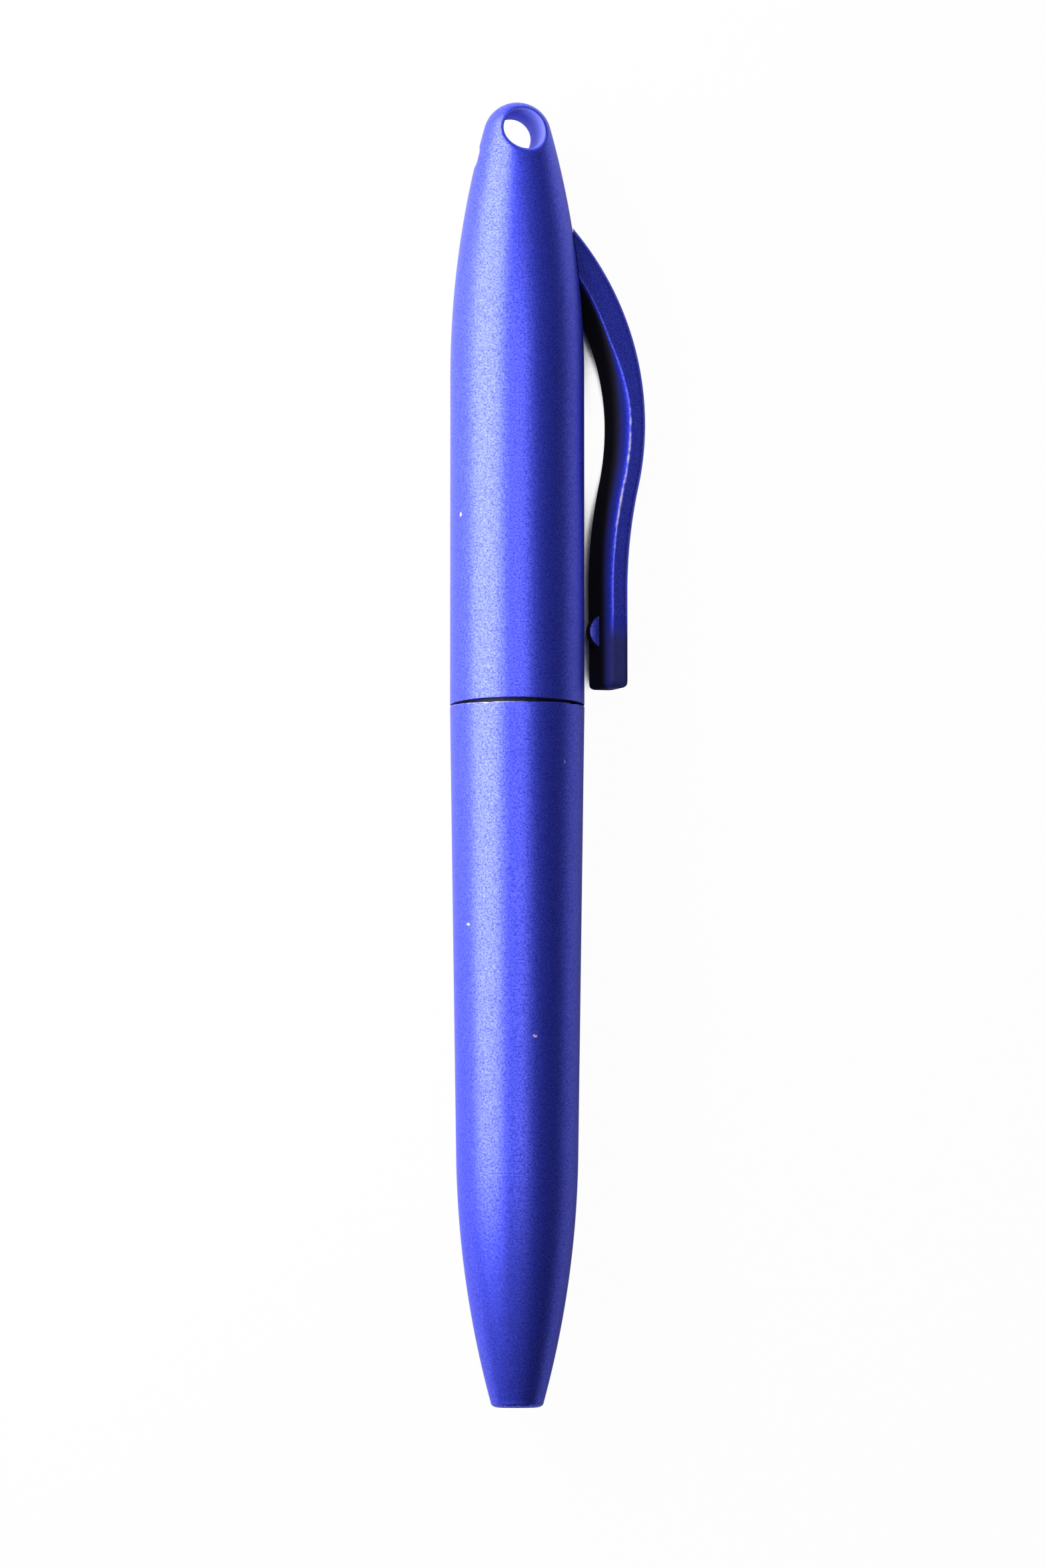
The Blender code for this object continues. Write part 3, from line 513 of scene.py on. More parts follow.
def section(z):
    """Each column's side and depth at a height: corner centre plus radius times cosine and sine."""
    half = CLIP_WIDTH / 2 - round_inset(z - TOE_Z, TOE_ROUND)
    thick = clip_thickness(z)
    inset = round_inset(z - TOE_Z, TOE_EDGE)
    outer = np.minimum(CLIP_OUTER_EDGE, ROUND_LIMIT * np.minimum(thick / 2 - inset, half))
    limit = ROUND_LIMIT * np.minimum(thick - 2 * inset - outer, half)
    under = np.minimum(INNER_EDGE, limit)
    fade = np.clip((CREASE_TOP_Z - z) / CREASE_FADE, 0, 1)
    lead = np.clip((thick - EDGE_DEPTH - inset) * fade**2 * (3 - 2 * fade), 1.5 * CREASE_R, limit)
    dome = (lead - CREASE_R * math.sin(CREASE_TURN)) / (1 - math.sin(CREASE_TURN))

    def corner_point(k):
        # Corner 2 is the crease: a small arc first, then the dome's large one.
        radius = np.where(k < 2, outer, under)
        centre = np.where(k < 2, inset + radius, thick - inset - radius)
        side = np.where((k == 0) | (k == 3), 1, -1)
        across = side * (half - radius) + radius * np.cos(column_angle)
        depth = centre - radius * np.sin(column_angle)
        turned = column_angle - math.pi
        bend = np.minimum(turned, CREASE_TURN)
        rest = np.maximum(turned, CREASE_TURN)
        crease_depth = thick - inset - lead + CREASE_R * np.sin(bend)
        crease_depth = crease_depth + dome * (np.sin(rest) - math.sin(CREASE_TURN))
        crease_across = CREASE_R * (1 - np.cos(bend))
        crease_across = crease_across + dome * (math.cos(CREASE_TURN) - np.cos(rest)) - half
        return np.where(k == 2, crease_across, across), np.where(k == 2, crease_depth, depth)

    here, there = corner_point(column_corner), corner_point((column_corner + 1) % 4)
    return [a + (b - a) * column_mix for a, b in zip(here, there)]


def strap_points(r, z, slope):
    """Points of the section set square to the strap's back at (r, z)."""
    across, depth = section(z)
    return np.stack((r - depth * np.cos(slope), across, z - depth * np.sin(slope)), axis=-1)


def bow_points(a):
    """Points of the section at an angle round the bow's centre."""
    return strap_points(bow_x + BOW_RADIUS * np.cos(a), BOW_Z + BOW_RADIUS * np.sin(a), a)


print(f"{len(column_mix)} columns of points round the section")

# %% [markdown]
# ## The strap
# The section is carried along the strap's back: one arc for the bow, one back-sweep
# and a straight foot. At the root every column of points stops where it meets the
# barrel. There is no plain formula for that, so all columns halve an interval of
# angles together until they have it. A pale mark along the crease, strongest near
# the bow, is a painted highlight. The inner face and the upper side of the toe
# are painted dark, as painted shade.

# %% Strap
ROOT_GAP = 0.05
ROOT_FROM, ROOT_TO, HALVINGS = 0.2, 1.05, 40
PAINTED_CREASE_HIGHLIGHT, CREASE_HIGHLIGHT_Z, CREASE_HIGHLIGHT_SPREAD = 0.66, 74.5, 8.5
INNER_SHADE_FROM, INNER_SHADE_FADE = 0.79, 0.19
TOE_SHADE, TOE_SHADE_Z, TOE_FADE = 0.78, 63.5, 2.0

outside_a, inside_a = np.full(len(column_mix), ROOT_FROM), np.full(len(column_mix), ROOT_TO)
for _ in range(HALVINGS):
    middle = (outside_a + inside_a) / 2
    p = bow_points(middle)
    clear = np.hypot(p[:, 0], p[:, 1]) > cap_radius(p[:, 2]) + ROOT_GAP
    outside_a, inside_a = np.where(clear, middle, outside_a), np.where(clear, inside_a, middle)
bow = bow_points(outside_a + (-sweep_angle - outside_a) * np.linspace(0, 1, 110)[:, None])
a = np.linspace(sweep_angle, 0, 30)[1:, None]
sweep_r = FOOT_REACH + SWEEP_RADIUS - SWEEP_RADIUS * np.cos(a)
sweep = strap_points(sweep_r, sweep_z + SWEEP_RADIUS * np.sin(a), -a)
foot_z = np.linspace(sweep_z, TOE_Z + TOE_ROUND, 12)[1:, None]
toe_z = TOE_Z + TOE_ROUND * (1 - np.sin(np.linspace(0, np.pi / 2, 24)))[1:, None]
foot = strap_points(FOOT_REACH, np.concatenate((foot_z, toe_z)), 0.0)
shrink = np.linspace(0, 1, 6)[:-1, None, None]
root_cap = bow[0].mean(axis=0) + (bow[0] - bow[0].mean(axis=0)) * shrink
out = (cap_radius(root_cap[..., 2]) + ROOT_GAP) / np.hypot(root_cap[..., 0], root_cap[..., 1])
root_cap[..., :2] *= out[..., None]
toe_cap = foot[-1].mean(axis=0) + (foot[-1] - foot[-1].mean(axis=0)) * shrink[::-1]
strap_grid = np.concatenate((root_cap, bow, sweep, foot, toe_cap))
finish = np.zeros(strap_grid.shape[:2] + (2,))
# Painted highlight: a pale mark along the crease, strongest near the bow.
on_crease = (column_corner == 2) & (column_angle < math.pi + CREASE_TURN)
off_bow = (strap_grid[..., 2] - CREASE_HIGHLIGHT_Z) / CREASE_HIGHLIGHT_SPREAD
finish[..., 0] = PAINTED_CREASE_HIGHLIGHT * on_crease * np.exp(-(off_bow**2))
# Painted shade: the inner face, which looks at the barrel, is painted dark.
inner = np.clip((-np.sin(column_angle) - INNER_SHADE_FROM) / INNER_SHADE_FADE, 0, 1)
# Painted shade: the upper side of the toe is painted darker towards its tip.
toe_shade = TOE_SHADE * np.clip((TOE_SHADE_Z - strap_grid[..., 2]) / TOE_FADE, 0, 1)
toe_shade *= np.clip(0.5 - strap_grid[..., 1] / CLIP_WIDTH, 0, 1)
finish[..., 1] = np.maximum(inner, toe_shade)
strap = surface("pocket_clip", [(np.concatenate((strap_grid, finish), axis=-1), False, True)])

# %% [markdown]
# ## Rib and tang
# A half-moon rib under the foot grips the cloth of a pocket. Inside the barrel
# a hooked tang holds the strap in a slot. Both are flat shapes given a width,
# with slightly eased edges. They could be pieces of their own, but the real clip is
# one moulding, so a Boolean joins them to the strap. The rib's eased edge is
# painted dark, as painted shade.


# %% Rib, tang and slot
def slab(name, outline, half, ease, rim_shade=0.0):
    """A flat outline given a width: inner rings, eased rims and the outline itself across y."""
    outline = np.asarray(outline, float)
    middle = outline.mean(axis=0)
    size = np.linalg.norm(outline - middle, axis=1).max()
    bend = np.linspace(0, np.pi / 2, 5)
    scale = np.concatenate(([0.0], 1 - ease / size * (1 - np.sin(bend))))
    side = np.concatenate(([-half], -half + ease * (1 - np.cos(bend))))
    scale, side = np.concatenate((scale, scale[::-1])), np.concatenate((side, -side[::-1]))
    flat = middle + (outline - middle) * scale[:, None, None]
    across = np.broadcast_to(side[:, None], flat.shape[:2])
    # Painted shade: the eased rims can be painted dark here.
    marking = np.broadcast_to(rim_shade * (side > -half + 0.9 * ease)[:, None], flat.shape[:2])
    grid = np.stack((flat[..., 0], across, flat[..., 1], 0 * marking, marking), axis=-1)
    return surface(name, [(grid, False, True)])


RIB_HEIGHT, RIB_CHORD, RIB_WIDTH, RIB_FROM_TOE = 0.8, 2.5, 0.9, 4.6
RIB_EASE, TANG_EASE = 0.1, 0.02
TANG_WIDTH, TANG_HEIGHT, TANG_DROP, TANG_DEPTH = 2.6, 1.5, 0.9, 1.1
HOOK_RISE, HOOK_THICK = 0.9, 0.8
SLOT_GAP = 0.2

rib_r = (RIB_CHORD**2 / 4 + RIB_HEIGHT**2) / (2 * RIB_HEIGHT)
rib_z = TOE_Z + RIB_FROM_TOE
rib_thick = float(clip_thickness(rib_z))
rib_x = FOOT_REACH - rib_thick - RIB_HEIGHT + rib_r
rib_half = math.acos(1 - (RIB_HEIGHT + rib_thick / 2) / rib_r)
half_moon = arc((rib_x, rib_z), rib_r, math.pi - rib_half, math.pi + rib_half, 48)
carve(strap, slab("rib", half_moon, RIB_WIDTH / 2, RIB_EASE, rim_shade=1.0), "UNION")

tang_top = root_z - TANG_DROP
tang_low = tang_top - TANG_HEIGHT
tang_in = float(cap_radius(tang_top)) - CAVITY_WALL - TANG_DEPTH
tang_out = [
    (float(cap_radius(z)) + bow_x + math.sqrt(BOW_RADIUS**2 - (z - BOW_Z) ** 2)) / 2
    for z in (tang_top, tang_low)
]
hook_x = tang_in + HOOK_THICK
hook = [
    (tang_out[0], tang_top),
    (hook_x, tang_top),
    (hook_x, tang_top + HOOK_RISE),
    (tang_in, tang_top + HOOK_RISE),
    (tang_in, tang_low),
    (tang_out[1], tang_low),
]
slot_low, slot_high = tang_low - SLOT_GAP, tang_top + SLOT_GAP
opening = [(tang_in, slot_low), (BODY_R, slot_low), (BODY_R, slot_high), (tang_in, slot_high)]
carve(strap, slab("tang", hook, TANG_WIDTH / 2, TANG_EASE), "UNION")
carve(upper_barrel, slab("slot", opening, TANG_WIDTH / 2 + SLOT_GAP, TANG_EASE), "DIFFERENCE")
print(f"rib at z = {rib_z:.2f} mm, tang from {tang_low:.2f} to {tang_top:.2f} mm")

# %% [markdown]
# ## The return spring
# Drawn steel wire, wound as a compression spring with a closed coil at each
# end. The wire's section is carried along a helix whose rise is small over the
# first and last turn. When the twist pushes the refill out, the carrier squeezes
# the spring against its seat.

# %% Spring
COIL_R, WIRE_R = 1.9, 0.2
COIL_LOW, COIL_HIGH = 44.03, 61.2
COILS, CLOSED_PITCH = 12, 0.42

turns = np.linspace(0, COILS, COILS * 30 + 1)
knots = [0, 1, 1.5, COILS - 1.5, COILS - 1, COILS]
open_rise = (COIL_HIGH - COIL_LOW - 2 * CLOSED_PITCH) / (COILS - 2)
levels = [0, CLOSED_PITCH, CLOSED_PITCH + 0.3 * open_rise]
levels = levels + [COIL_HIGH - COIL_LOW - v for v in reversed(levels)]
lift = COIL_LOW + np.interp(turns, knots, levels)
t = 2 * np.pi * turns
radial = np.stack((np.cos(t), np.sin(t), 0 * t), axis=-1)
along = np.gradient(np.concatenate((COIL_R * radial[:, :2], lift[:, None]), axis=-1), axis=0)
upward = np.cross(along / np.linalg.norm(along, axis=1, keepdims=True), -radial)
path = COIL_R * radial + np.stack((0 * t, 0 * t, lift), axis=-1)
girth = np.concatenate(([0.0], np.full(len(t), WIRE_R), [0.0]))
path, radial, upward = (np.concatenate((v[:1], v, v[-1:])) for v in (path, radial, upward))
ring = 2 * np.pi * np.arange(12) / 12
wire = radial[:, None] * np.cos(ring)[:, None] + upward[:, None] * np.sin(ring)[:, None]
coil = surface("return_spring_wire", [(path[:, None] + wire * girth[:, None, None], False, True)])

# %% [markdown]
# ## Tip of the refill
# The tip is turned from nickel silver: a shank pressed into the tube, a shoulder
# as wide as the tube, and a cone whose lip is rolled over the ball. The ball is
# lapped carbide, one millimetre across.

# %% Refill tip and ball
TUBE_R, SHANK_R, CHANNEL_R = 1.175, 0.825, 0.25
SHANK_Z, SHOULDER_Z = 14.1, 9.9
CONE_Z, CONE_R, SHOULDER_RISE = 4.7, 0.75, 0.85
BALL_R, BALL_Z, LIP_Z, SEAT_R = 0.5, 1.8, 1.57, 0.53

lip_angle = math.pi / 2 - math.acos((BALL_Z - LIP_Z) / SEAT_R)
lip_r = SEAT_R * math.cos(lip_angle)
seat_end = math.acos(CHANNEL_R / SEAT_R)
tip = profile(
    run((CHANNEL_R, SHANK_Z), (SHANK_R - 0.1, SHANK_Z)),
    run((SHANK_R, SHANK_Z - 0.1), (SHANK_R, SHOULDER_Z)),
    run((TUBE_R - 0.05, SHOULDER_Z), (TUBE_R, SHOULDER_Z - 0.05)),
    run((TUBE_R, CONE_Z + SHOULDER_RISE + 0.1), (CONE_R, CONE_Z), 8),
    run((CONE_R, CONE_Z), (lip_r + 0.09, LIP_Z + 0.12), 12),
    arc((lip_r + 0.03, LIP_Z + 0.06), 0.06, 0.0, -math.pi / 2, 6),
    arc((0.0, BALL_Z), SEAT_R, -lip_angle, seat_end, 14),
)
refill_tip = surface("refill_tip_turned", [(spun(tip, 96), True, True)])
ball_side = arc((0.0, BALL_Z), BALL_R, math.pi / 2, -math.pi / 2, 33)
ball_side[[0, -1], 0] = 0.0
writing_ball = surface("writing_ball_lapped", [(spun(ball_side, 64), False, True)])

# %% [markdown]
# ## Colour and nodes
# Colours are written as the sRGB hex that a paint chart would give and turned to
# linear light for the shader. One function adds a node: its own settings by
# name, and for each socket a value or a link.


# %% Shader helpers
def linear(code):
    """Linear RGBA of an sRGB hex colour."""
    parts = np.array([int(code[i:i + 2], 16) for i in (1, 3, 5)]) / 255
    parts = np.where(parts <= 0.04045, parts / 12.92, ((parts + 0.055) / 1.055) ** 2.4)
    return (*parts.tolist(), 1.0)


def add(tree, kind, sockets=(), **settings):
    """Adds one node with its settings, and a value or a link for each socket named or numbered."""
    made = tree.nodes.new(kind)
    for key, value in settings.items():
        setattr(made, key, value)
    for key, value in dict(sockets).items():
        if isinstance(value, bpy.types.NodeSocket):
            tree.links.new(value, made.inputs[key])
        else:
            made.inputs[key].default_value = value
    return made


def new_material(name):
    """An empty node material, its tree and the object-space coordinates in metres."""
    material = bpy.data.materials.new(name)
    material.use_nodes = True
    tree = material.node_tree
    tree.nodes.clear()
    return material, tree, add(tree, "ShaderNodeTexCoord").outputs["Object"]


def close(tree, shader):
    """Links a shader to the material's output."""
    add(tree, "ShaderNodeOutputMaterial", {"Surface": shader})


# %% [markdown]
# ## The metallic lacquer
# Violet-blue lacquer with aluminium flake, sprayed over moulded ABS. Most of the
# light comes back as from rough metal, which spreads a lamp into a broad satin
# band, and single flakes send it back white. A flat colour with one roughness would
# look like plain plastic, so noise stands for the flakes. They are about 0.05 mm
# in life and drawn at 0.14 mm so that they show. A slower noise is the ripple of
# the sprayed skin, which makes the satin differ a little from place to place.

# %% Flakes and satin of the lacquer
LACQUER = "#404DF4"
FLAKE, RIPPLE = 0.14, 1.2

lacquer, tree, place = new_material("violet_blue_metallic_lacquer_sprayed")
flakes = add(tree, "ShaderNodeTexNoise", {
    "Vector": place, "Scale": 1 / (MM * FLAKE), "Detail": 2.0})
flake = add(tree, "ShaderNodeMapRange", {
    "Value": flakes.outputs["Fac"], "From Min": 0.3, "From Max": 0.7}).outputs[0]
glitter = add(tree, "ShaderNodeMapRange", {"Value": flake, "To Min": 0.74, "To Max": 1.26})
tint = add(tree, "ShaderNodeMix", {
    "Factor": 1.0, "A": linear(LACQUER), "B": glitter.outputs[0],
}, data_type="RGBA", blend_type="MULTIPLY")
ripple = add(tree, "ShaderNodeTexNoise", {
    "Vector": place, "Scale": 1 / (MM * RIPPLE), "Detail": 3.0})
satin = add(tree, "ShaderNodeMapRange", {
    "Value": ripple.outputs["Fac"], "To Min": 0.36, "To Max": 0.46})
print(f"flakes drawn at {FLAKE} mm, ripple at {RIPPLE} mm")

# %% [markdown]
# ## Wear, and painted highlights
# Round the nose the coat has rubbed through to a pale lilac undercoat, and a few
# knocks have nicked it. At the rim the same pale colour is partly wear and partly a
# painted highlight, and along the clip's crease it is a painted highlight. The
# mesh's value for wear and highlight says where, and a noise breaks its edge up. A
# nick is the distance to one point, read from coordinates that the same noise has
# bent, so no nick is round.

# %% Wear, painted highlights and nicks
UNDERCOAT_AND_HIGHLIGHT = "#D6CCEC"
WEAR_GRAIN = 0.6
NICKS = (
    (1.35, -1.13, 9.19), (-6.94, 18.75, 8.4), (-6.41, -14.08, 8.69), (-1.09, -23.05, 10.22),
)
NICK_R, NICK_WARP = 0.18, 0.6

wear_and_highlight = add(tree, "ShaderNodeAttribute", attribute_name="wear_and_highlight").outputs["Fac"]
grain = add(tree, "ShaderNodeTexNoise", {
    "Vector": place, "Scale": 1 / (MM * WEAR_GRAIN), "Detail": 4.0})
marking = add(tree, "ShaderNodeMath", {0: wear_and_highlight, 1: grain.outputs["Fac"]}, operation="MULTIPLY")
marking = add(tree, "ShaderNodeMapRange", {
    "Value": marking.outputs[0], "From Min": 0.2, "From Max": 0.42})
bent = add(tree, "ShaderNodeVectorMath", {
    0: grain.outputs["Color"], 1: (0.5, 0.5, 0.5)}, operation="SUBTRACT")
bent = add(tree, "ShaderNodeVectorMath", {
    0: bent.outputs[0], 1: (MM * NICK_WARP,) * 3, 2: place}, operation="MULTIPLY_ADD")
for nick in NICKS:
    away = add(tree, "ShaderNodeVectorMath", {
        0: bent.outputs[0], 1: tuple(MM * v for v in nick)}, operation="DISTANCE")
    mark = add(tree, "ShaderNodeMapRange", {
        "Value": away.outputs["Value"], "From Min": MM * NICK_R, "From Max": MM * NICK_R / 2})
    marking = add(tree, "ShaderNodeMath", {
        0: marking.outputs[0], 1: mark.outputs[0]}, operation="MAXIMUM")
# The pale colour is worn undercoat. On the crease and the lit side of the rim it is also a painted
# highlight.
coat = add(tree, "ShaderNodeMix", {
    "Factor": marking.outputs[0], "A": tint.outputs["Result"], "B": linear(UNDERCOAT_AND_HIGHLIGHT),
}, data_type="RGBA")
print(f"{len(NICKS)} nicks, each about {2 * NICK_R:.2f} mm across")

# %% [markdown]
# ## Thin spray, painted shade and the finished shader
# The throat of the cord hole took little spray and looks greyish. Where the mesh's
# dark value is set, the lacquer is painted dark. On the clip's inner face, the upper
# side of its toe and the rib's edge this is painted shade, and the upper barrel's
# end face is drawn dark too. Wherever the lacquer is thin, gone or painted dark, the
# metal look goes with it. The white of the flakes is a second, glossy shader, mixed
# in by a share that follows the flakes.

# %% Thin places, painted shade and the shader
THIN_COAT, DARKENED_COLOUR, FLAKE_WHITE = "#7A80E6", "#34323C", "#F5F2FF"
METAL, METAL_DULL = 0.7, 0.1
FLAKE_SHARE = 0.096

thin = add(tree, "ShaderNodeMapRange", {
    "Value": wear_and_highlight, "From Min": 0.0, "From Max": THIN_SPRAY})
coat = add(tree, "ShaderNodeMix", {
    "Factor": thin.outputs[0], "A": coat.outputs["Result"], "B": linear(THIN_COAT),
}, data_type="RGBA")
# Painted shade: where the dark value is set, the colour goes to a dark grey.
darkened = add(tree, "ShaderNodeAttribute", attribute_name="darkened").outputs["Fac"]
coat = add(tree, "ShaderNodeMix", {
    "Factor": darkened, "A": coat.outputs["Result"], "B": linear(DARKENED_COLOUR),
}, data_type="RGBA")
# From here this share also carries the painted shade.
thin = add(tree, "ShaderNodeMath", {0: thin.outputs[0], 1: darkened}, operation="MAXIMUM")
dull = add(tree, "ShaderNodeMath", {
    0: marking.outputs[0], 1: thin.outputs[0]}, operation="MAXIMUM")
metal = add(tree, "ShaderNodeMapRange", {
    "Value": dull.outputs[0], "To Min": METAL, "To Max": METAL_DULL})
rough = add(tree, "ShaderNodeMath", {
    0: satin.outputs[0], 1: thin.outputs[0]}, operation="MAXIMUM")
gloss = add(tree, "ShaderNodeMapRange", {"Value": flake, "To Min": 0.0, "To Max": FLAKE_SHARE})
gloss = add(tree, "ShaderNodeMath", {
    0: gloss.outputs[0], 1: thin.outputs[0]}, operation="SUBTRACT", use_clamp=True)
bump = add(tree, "ShaderNodeBump", {"Height": flake, "Strength": 0.2, "Distance": 0.00002})
body = add(tree, "ShaderNodeBsdfPrincipled", {
    "Base Color": coat.outputs["Result"], "Metallic": metal.outputs[0],
    "Roughness": rough.outputs[0], "Normal": bump.outputs[0], "Specular IOR Level": 0.3,
})
sheen = add(tree, "ShaderNodeBsdfAnisotropic", {
    "Color": linear(FLAKE_WHITE), "Roughness": 0.36, "Normal": bump.outputs[0]})
close(tree, add(tree, "ShaderNodeMixShader", {
    0: gloss.outputs[0], 1: body.outputs[0], 2: sheen.outputs[0]}).outputs[0])
dress(lower_barrel, "barrel", "lacquered_abs", lacquer, "lower_barrel")
dress(upper_barrel, "cap", "lacquered_abs", lacquer, "upper_barrel")
dress(strap, "clip", "lacquered_abs", lacquer, "clip")
print("lacquered pieces:", lower_barrel.name, upper_barrel.name, strap.name)

# %% [markdown]
# ## Materials of the works
# Inside are two acetal mouldings, pale and dark, with the faint mottling of a
# moulded skin; drawn steel and brass with fine lines along their length; a
# turned tip with rings round it; rubber and ink. Each differs in colour, sheen
# and the direction of its grain, so one function takes those as its settings.


# %% Materials of the works
def works_material(name, code, metallic, roughness, spread, stretch):
    """Colour and sheen times a noise stretched to the grain of the process, in millimetres."""
    material, tree, place = new_material(name)
    grain = add(tree, "ShaderNodeMapping", {
        "Vector": place, "Scale": tuple(1 / (MM * s) for s in stretch)})
    noise = add(tree, "ShaderNodeTexNoise", {
        "Vector": grain.outputs[0], "Scale": 1.0, "Detail": 3.0}).outputs["Fac"]
    shade_by = add(tree, "ShaderNodeMapRange", {
        "Value": noise, "To Min": 1 - spread, "To Max": 1 + spread})
    tint = add(tree, "ShaderNodeMix", {
        "Factor": 1.0, "A": linear(code), "B": shade_by.outputs[0],
    }, data_type="RGBA", blend_type="MULTIPLY")
    rough = add(tree, "ShaderNodeMapRange", {
        "Value": noise, "To Min": roughness * 0.8, "To Max": roughness * 1.2})
    bump = add(tree, "ShaderNodeBump", {
        "Height": noise, "Strength": 0.1, "Distance": 0.00002})
    close(tree, add(tree, "ShaderNodeBsdfPrincipled", {
        "Base Color": tint.outputs["Result"], "Metallic": metallic,
        "Roughness": rough.outputs[0], "Normal": bump.outputs[0],
    }).outputs[0])
    return material


MOTTLE = (0.8, 0.8, 0.8)
# Moulded acetal: a waxy half-gloss, clouded a little by the flow in the mould.
pale_acetal = works_material("pale_acetal_moulded", "#E4E1D6", 0.0, 0.45, 0.06, MOTTLE)
dark_acetal = works_material("dark_acetal_moulded", "#141636", 0.0, 0.5, 0.15, MOTTLE)
# Drawn metal: bright, with hairlines along the draw, which is world Y here.
steel = works_material("steel_drawn_bright", "#C4C6C9", 1.0, 0.28, 0.1, (0.05, 1.5, 0.05))
brass = works_material("brass_tube_drawn", "#D8B766", 1.0, 0.3, 0.08, (0.05, 4.0, 0.05))
# Turned metal: fine rings round the axis, left by the tool's feed.
nickel = works_material("nickel_silver_turned", "#D2CDC0", 1.0, 0.25, 0.08, (1.5, 0.04, 1.5))
# Lapped carbide: dark, hard and almost a mirror.
carbide = works_material("carbide_lapped", "#8F9093", 1.0, 0.2, 0.1, (0.05, 0.05, 0.05))
# Moulded rubber: black and matt, with the fine tooth of its mould.
rubber = works_material("nitrile_rubber_moulded", "#1D1D1D", 0.0, 0.7, 0.2, (0.2, 0.2, 0.2))
# Ink paste: wet, and streaked along the tube that it creeps down.
ink = works_material("blue_ink_paste", "#0E1670", 0.0, 0.12, 0.2, (1.0, 3.0, 1.0))
finishes = {
    "guide_sleeve": dark_acetal, "carrier": pale_acetal, "cam_sleeve": pale_acetal,
    "cross_pin": steel, "retaining_ring": steel, "drag_ring": rubber,
    "refill_tube": brass, "ink_column": ink,
}
for name, material in finishes.items():
    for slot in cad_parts[name].material_slots:
        slot.material = material
dress(coil, "barrel", "steel", steel, "return_spring")
dress(refill_tip, "refill", "nickel_silver", nickel, "refill_tip")
dress(writing_ball, "ball", "carbide", carbide, "writing_ball")
print("finished:", ", ".join(finishes), "and the new pieces")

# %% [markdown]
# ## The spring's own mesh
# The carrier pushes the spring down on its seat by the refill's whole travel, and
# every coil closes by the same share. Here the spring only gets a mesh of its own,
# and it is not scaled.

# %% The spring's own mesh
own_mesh(coil)

# %% [markdown]
# ## Table
# The pen lies on a white table. A lamp bright enough to make it white would bleach
# the lacquer, so towards the camera the table shows its own white, and only a small
# share of it is lit, which keeps a faint shadow. Reflections see the lit table and a
# little of that white. In the narrow gap beside the clip's foot the real table is
# dark, so the white also goes where little open sky is left close above the table.

# %% Table
TABLE_HALF = 1.5
MIRRORED_WHITE = 0.05
GAP_REACH, GAP_DARK, GAP_OPEN, OPEN_WHITE = 4.0, 0.3, 0.36, 0.975

corners = [(-TABLE_HALF, -TABLE_HALF, 0), (TABLE_HALF, -TABLE_HALF, 0)]
corners += [(TABLE_HALF, TABLE_HALF, 0), (-TABLE_HALF, TABLE_HALF, 0)]
mesh = bpy.data.meshes.new("table")
mesh.from_pydata(corners, [], [(0, 1, 2, 3)])
table = bpy.data.objects.new("table", mesh)
bpy.context.scene.collection.objects.link(table)
paper, tree, _ = new_material("white_table_matt")
rays = add(tree, "ShaderNodeLightPath").outputs
mirrored = add(tree, "ShaderNodeMath", {0: rays["Is Glossy Ray"], 1: rays["Is Transmission Ray"]})
mirrored = add(tree, "ShaderNodeMath", {
    0: mirrored.outputs[0], 1: MIRRORED_WHITE}, operation="MULTIPLY")
seen = add(tree, "ShaderNodeMath", {
    0: rays["Is Camera Ray"], 1: mirrored.outputs[0]}, use_clamp=True)
sky = add(tree, "ShaderNodeAmbientOcclusion", {"Distance": MM * GAP_REACH}, samples=32)
gap = add(tree, "ShaderNodeMapRange", {
    "Value": sky.outputs["AO"], "From Min": GAP_DARK, "From Max": GAP_OPEN, "To Max": OPEN_WHITE})
share = add(tree, "ShaderNodeMath", {
    0: seen.outputs[0], 1: gap.outputs[0]}, operation="MULTIPLY")
lit = add(tree, "ShaderNodeBsdfDiffuse", {"Color": linear("#DADADA")})
white = add(tree, "ShaderNodeEmission", {"Color": (1, 1, 1, 1), "Strength": 1.0})
close(tree, add(tree, "ShaderNodeMixShader", {
    0: share.outputs[0], 1: lit.outputs[0], 2: white.outputs[0]}).outputs[0])
table.data.materials.append(paper)
print(f"table of {2 * TABLE_HALF} m")

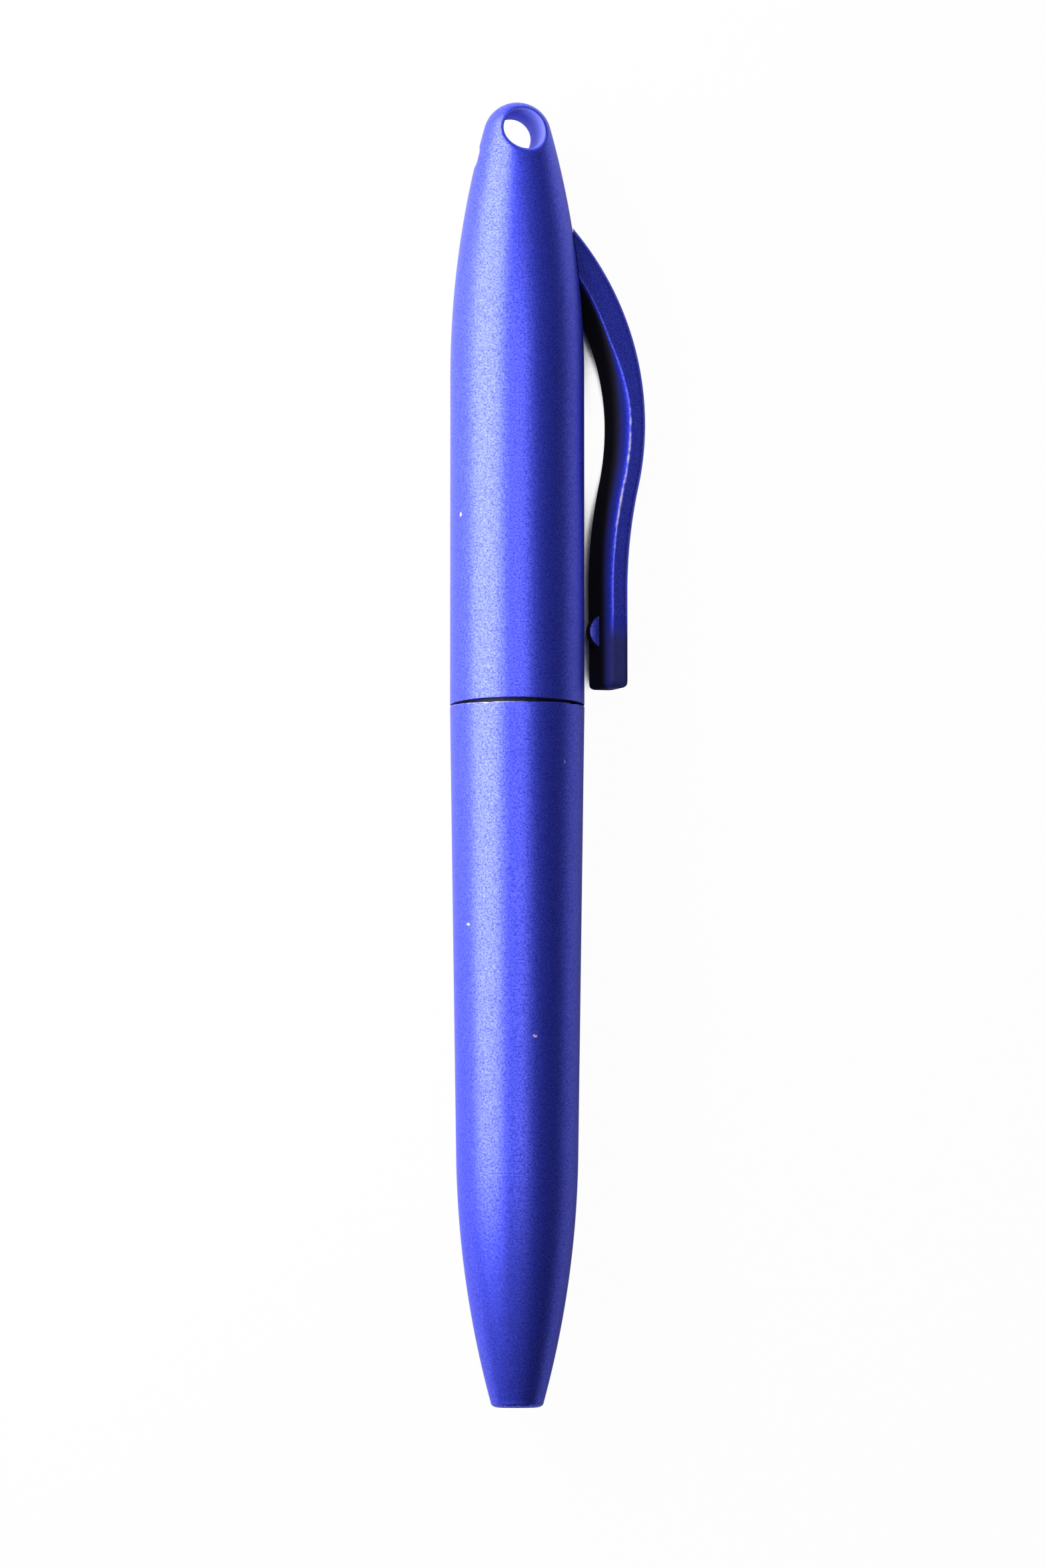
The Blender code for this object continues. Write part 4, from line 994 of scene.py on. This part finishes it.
# %% [markdown]
# ## Light
# A soft box stands close on the left, like a window beside a desk. Because it is
# close, it lights the table left of the pen more than the table on the right, so the
# pen's left edge mirrors a bright table and its right edge a dim one. A weak panel
# overhead draws a second band along the middle, and a dark room fills in the rest.

# %% Room and lamps
ROOM_GREY = 0.03

world = bpy.data.worlds.new("grey_room")
world.use_nodes = True
background = world.node_tree.nodes["Background"]
background.inputs["Color"].default_value = (ROOM_GREY, ROOM_GREY, ROOM_GREY, 1)
bpy.context.scene.world = world


def facing(place, target):
    """Side, up and backward axes of what looks at a target, with up along the pen, and its place."""
    back = np.subtract(place, target) / np.linalg.norm(np.subtract(place, target))
    side = np.cross((0, 1, 0), back)
    side /= np.linalg.norm(side)
    matrix = np.eye(4)
    matrix[:3, :4] = np.stack((side, np.cross(back, side), back, place), axis=1)
    return Matrix(matrix.tolist())


def soft_light(name, place, target, width, length, watts):
    """A rectangular lamp that faces a point, its length kept along the pen."""
    lamp = bpy.data.lights.new(name, "AREA")
    lamp.shape = "RECTANGLE"
    lamp.size, lamp.size_y, lamp.energy = width, length, watts
    holder = bpy.data.objects.new(name, lamp)
    bpy.context.scene.collection.objects.link(holder)
    holder.matrix_world = facing(place, target)
    print(f"{name}: {width} by {length} m, {watts} W")


soft_light("soft_box_left", (-0.077, 0.0535, 0.058), (0, 0.0385, 0), 0.106, 0.203, 0.36)
soft_light("panel_overhead", (0.09, 0.11, 0.88), (0, 0.11, 0), 0.4, 0.38, 1.2)

# %% [markdown]
# ## Camera
# A long lens looks down on the pen from half a metre. It stands a little towards the
# nose and leans by four degrees, as the photograph does, so the eye's two mouths
# and the arch of the seam fall where they should.

# %% Camera
LENS, SENSOR = 141.86, 36.0
EYE, LOOK_AT = (-0.00205, -0.0373, 0.500), (-0.00205, -0.0027, 0.0054)

camera = bpy.data.cameras.new("camera")
camera.lens, camera.sensor_width = LENS, SENSOR
camera.clip_start, camera.clip_end = 0.01, 10.0
viewer = bpy.data.objects.new("camera", camera)
bpy.context.scene.collection.objects.link(viewer)
viewer.matrix_world = facing(EYE, LOOK_AT)
bpy.context.scene.camera = viewer
bpy.context.scene.view_settings.view_transform = "Standard"
print(f"camera: {LENS} mm lens, {EYE[2]} m up")
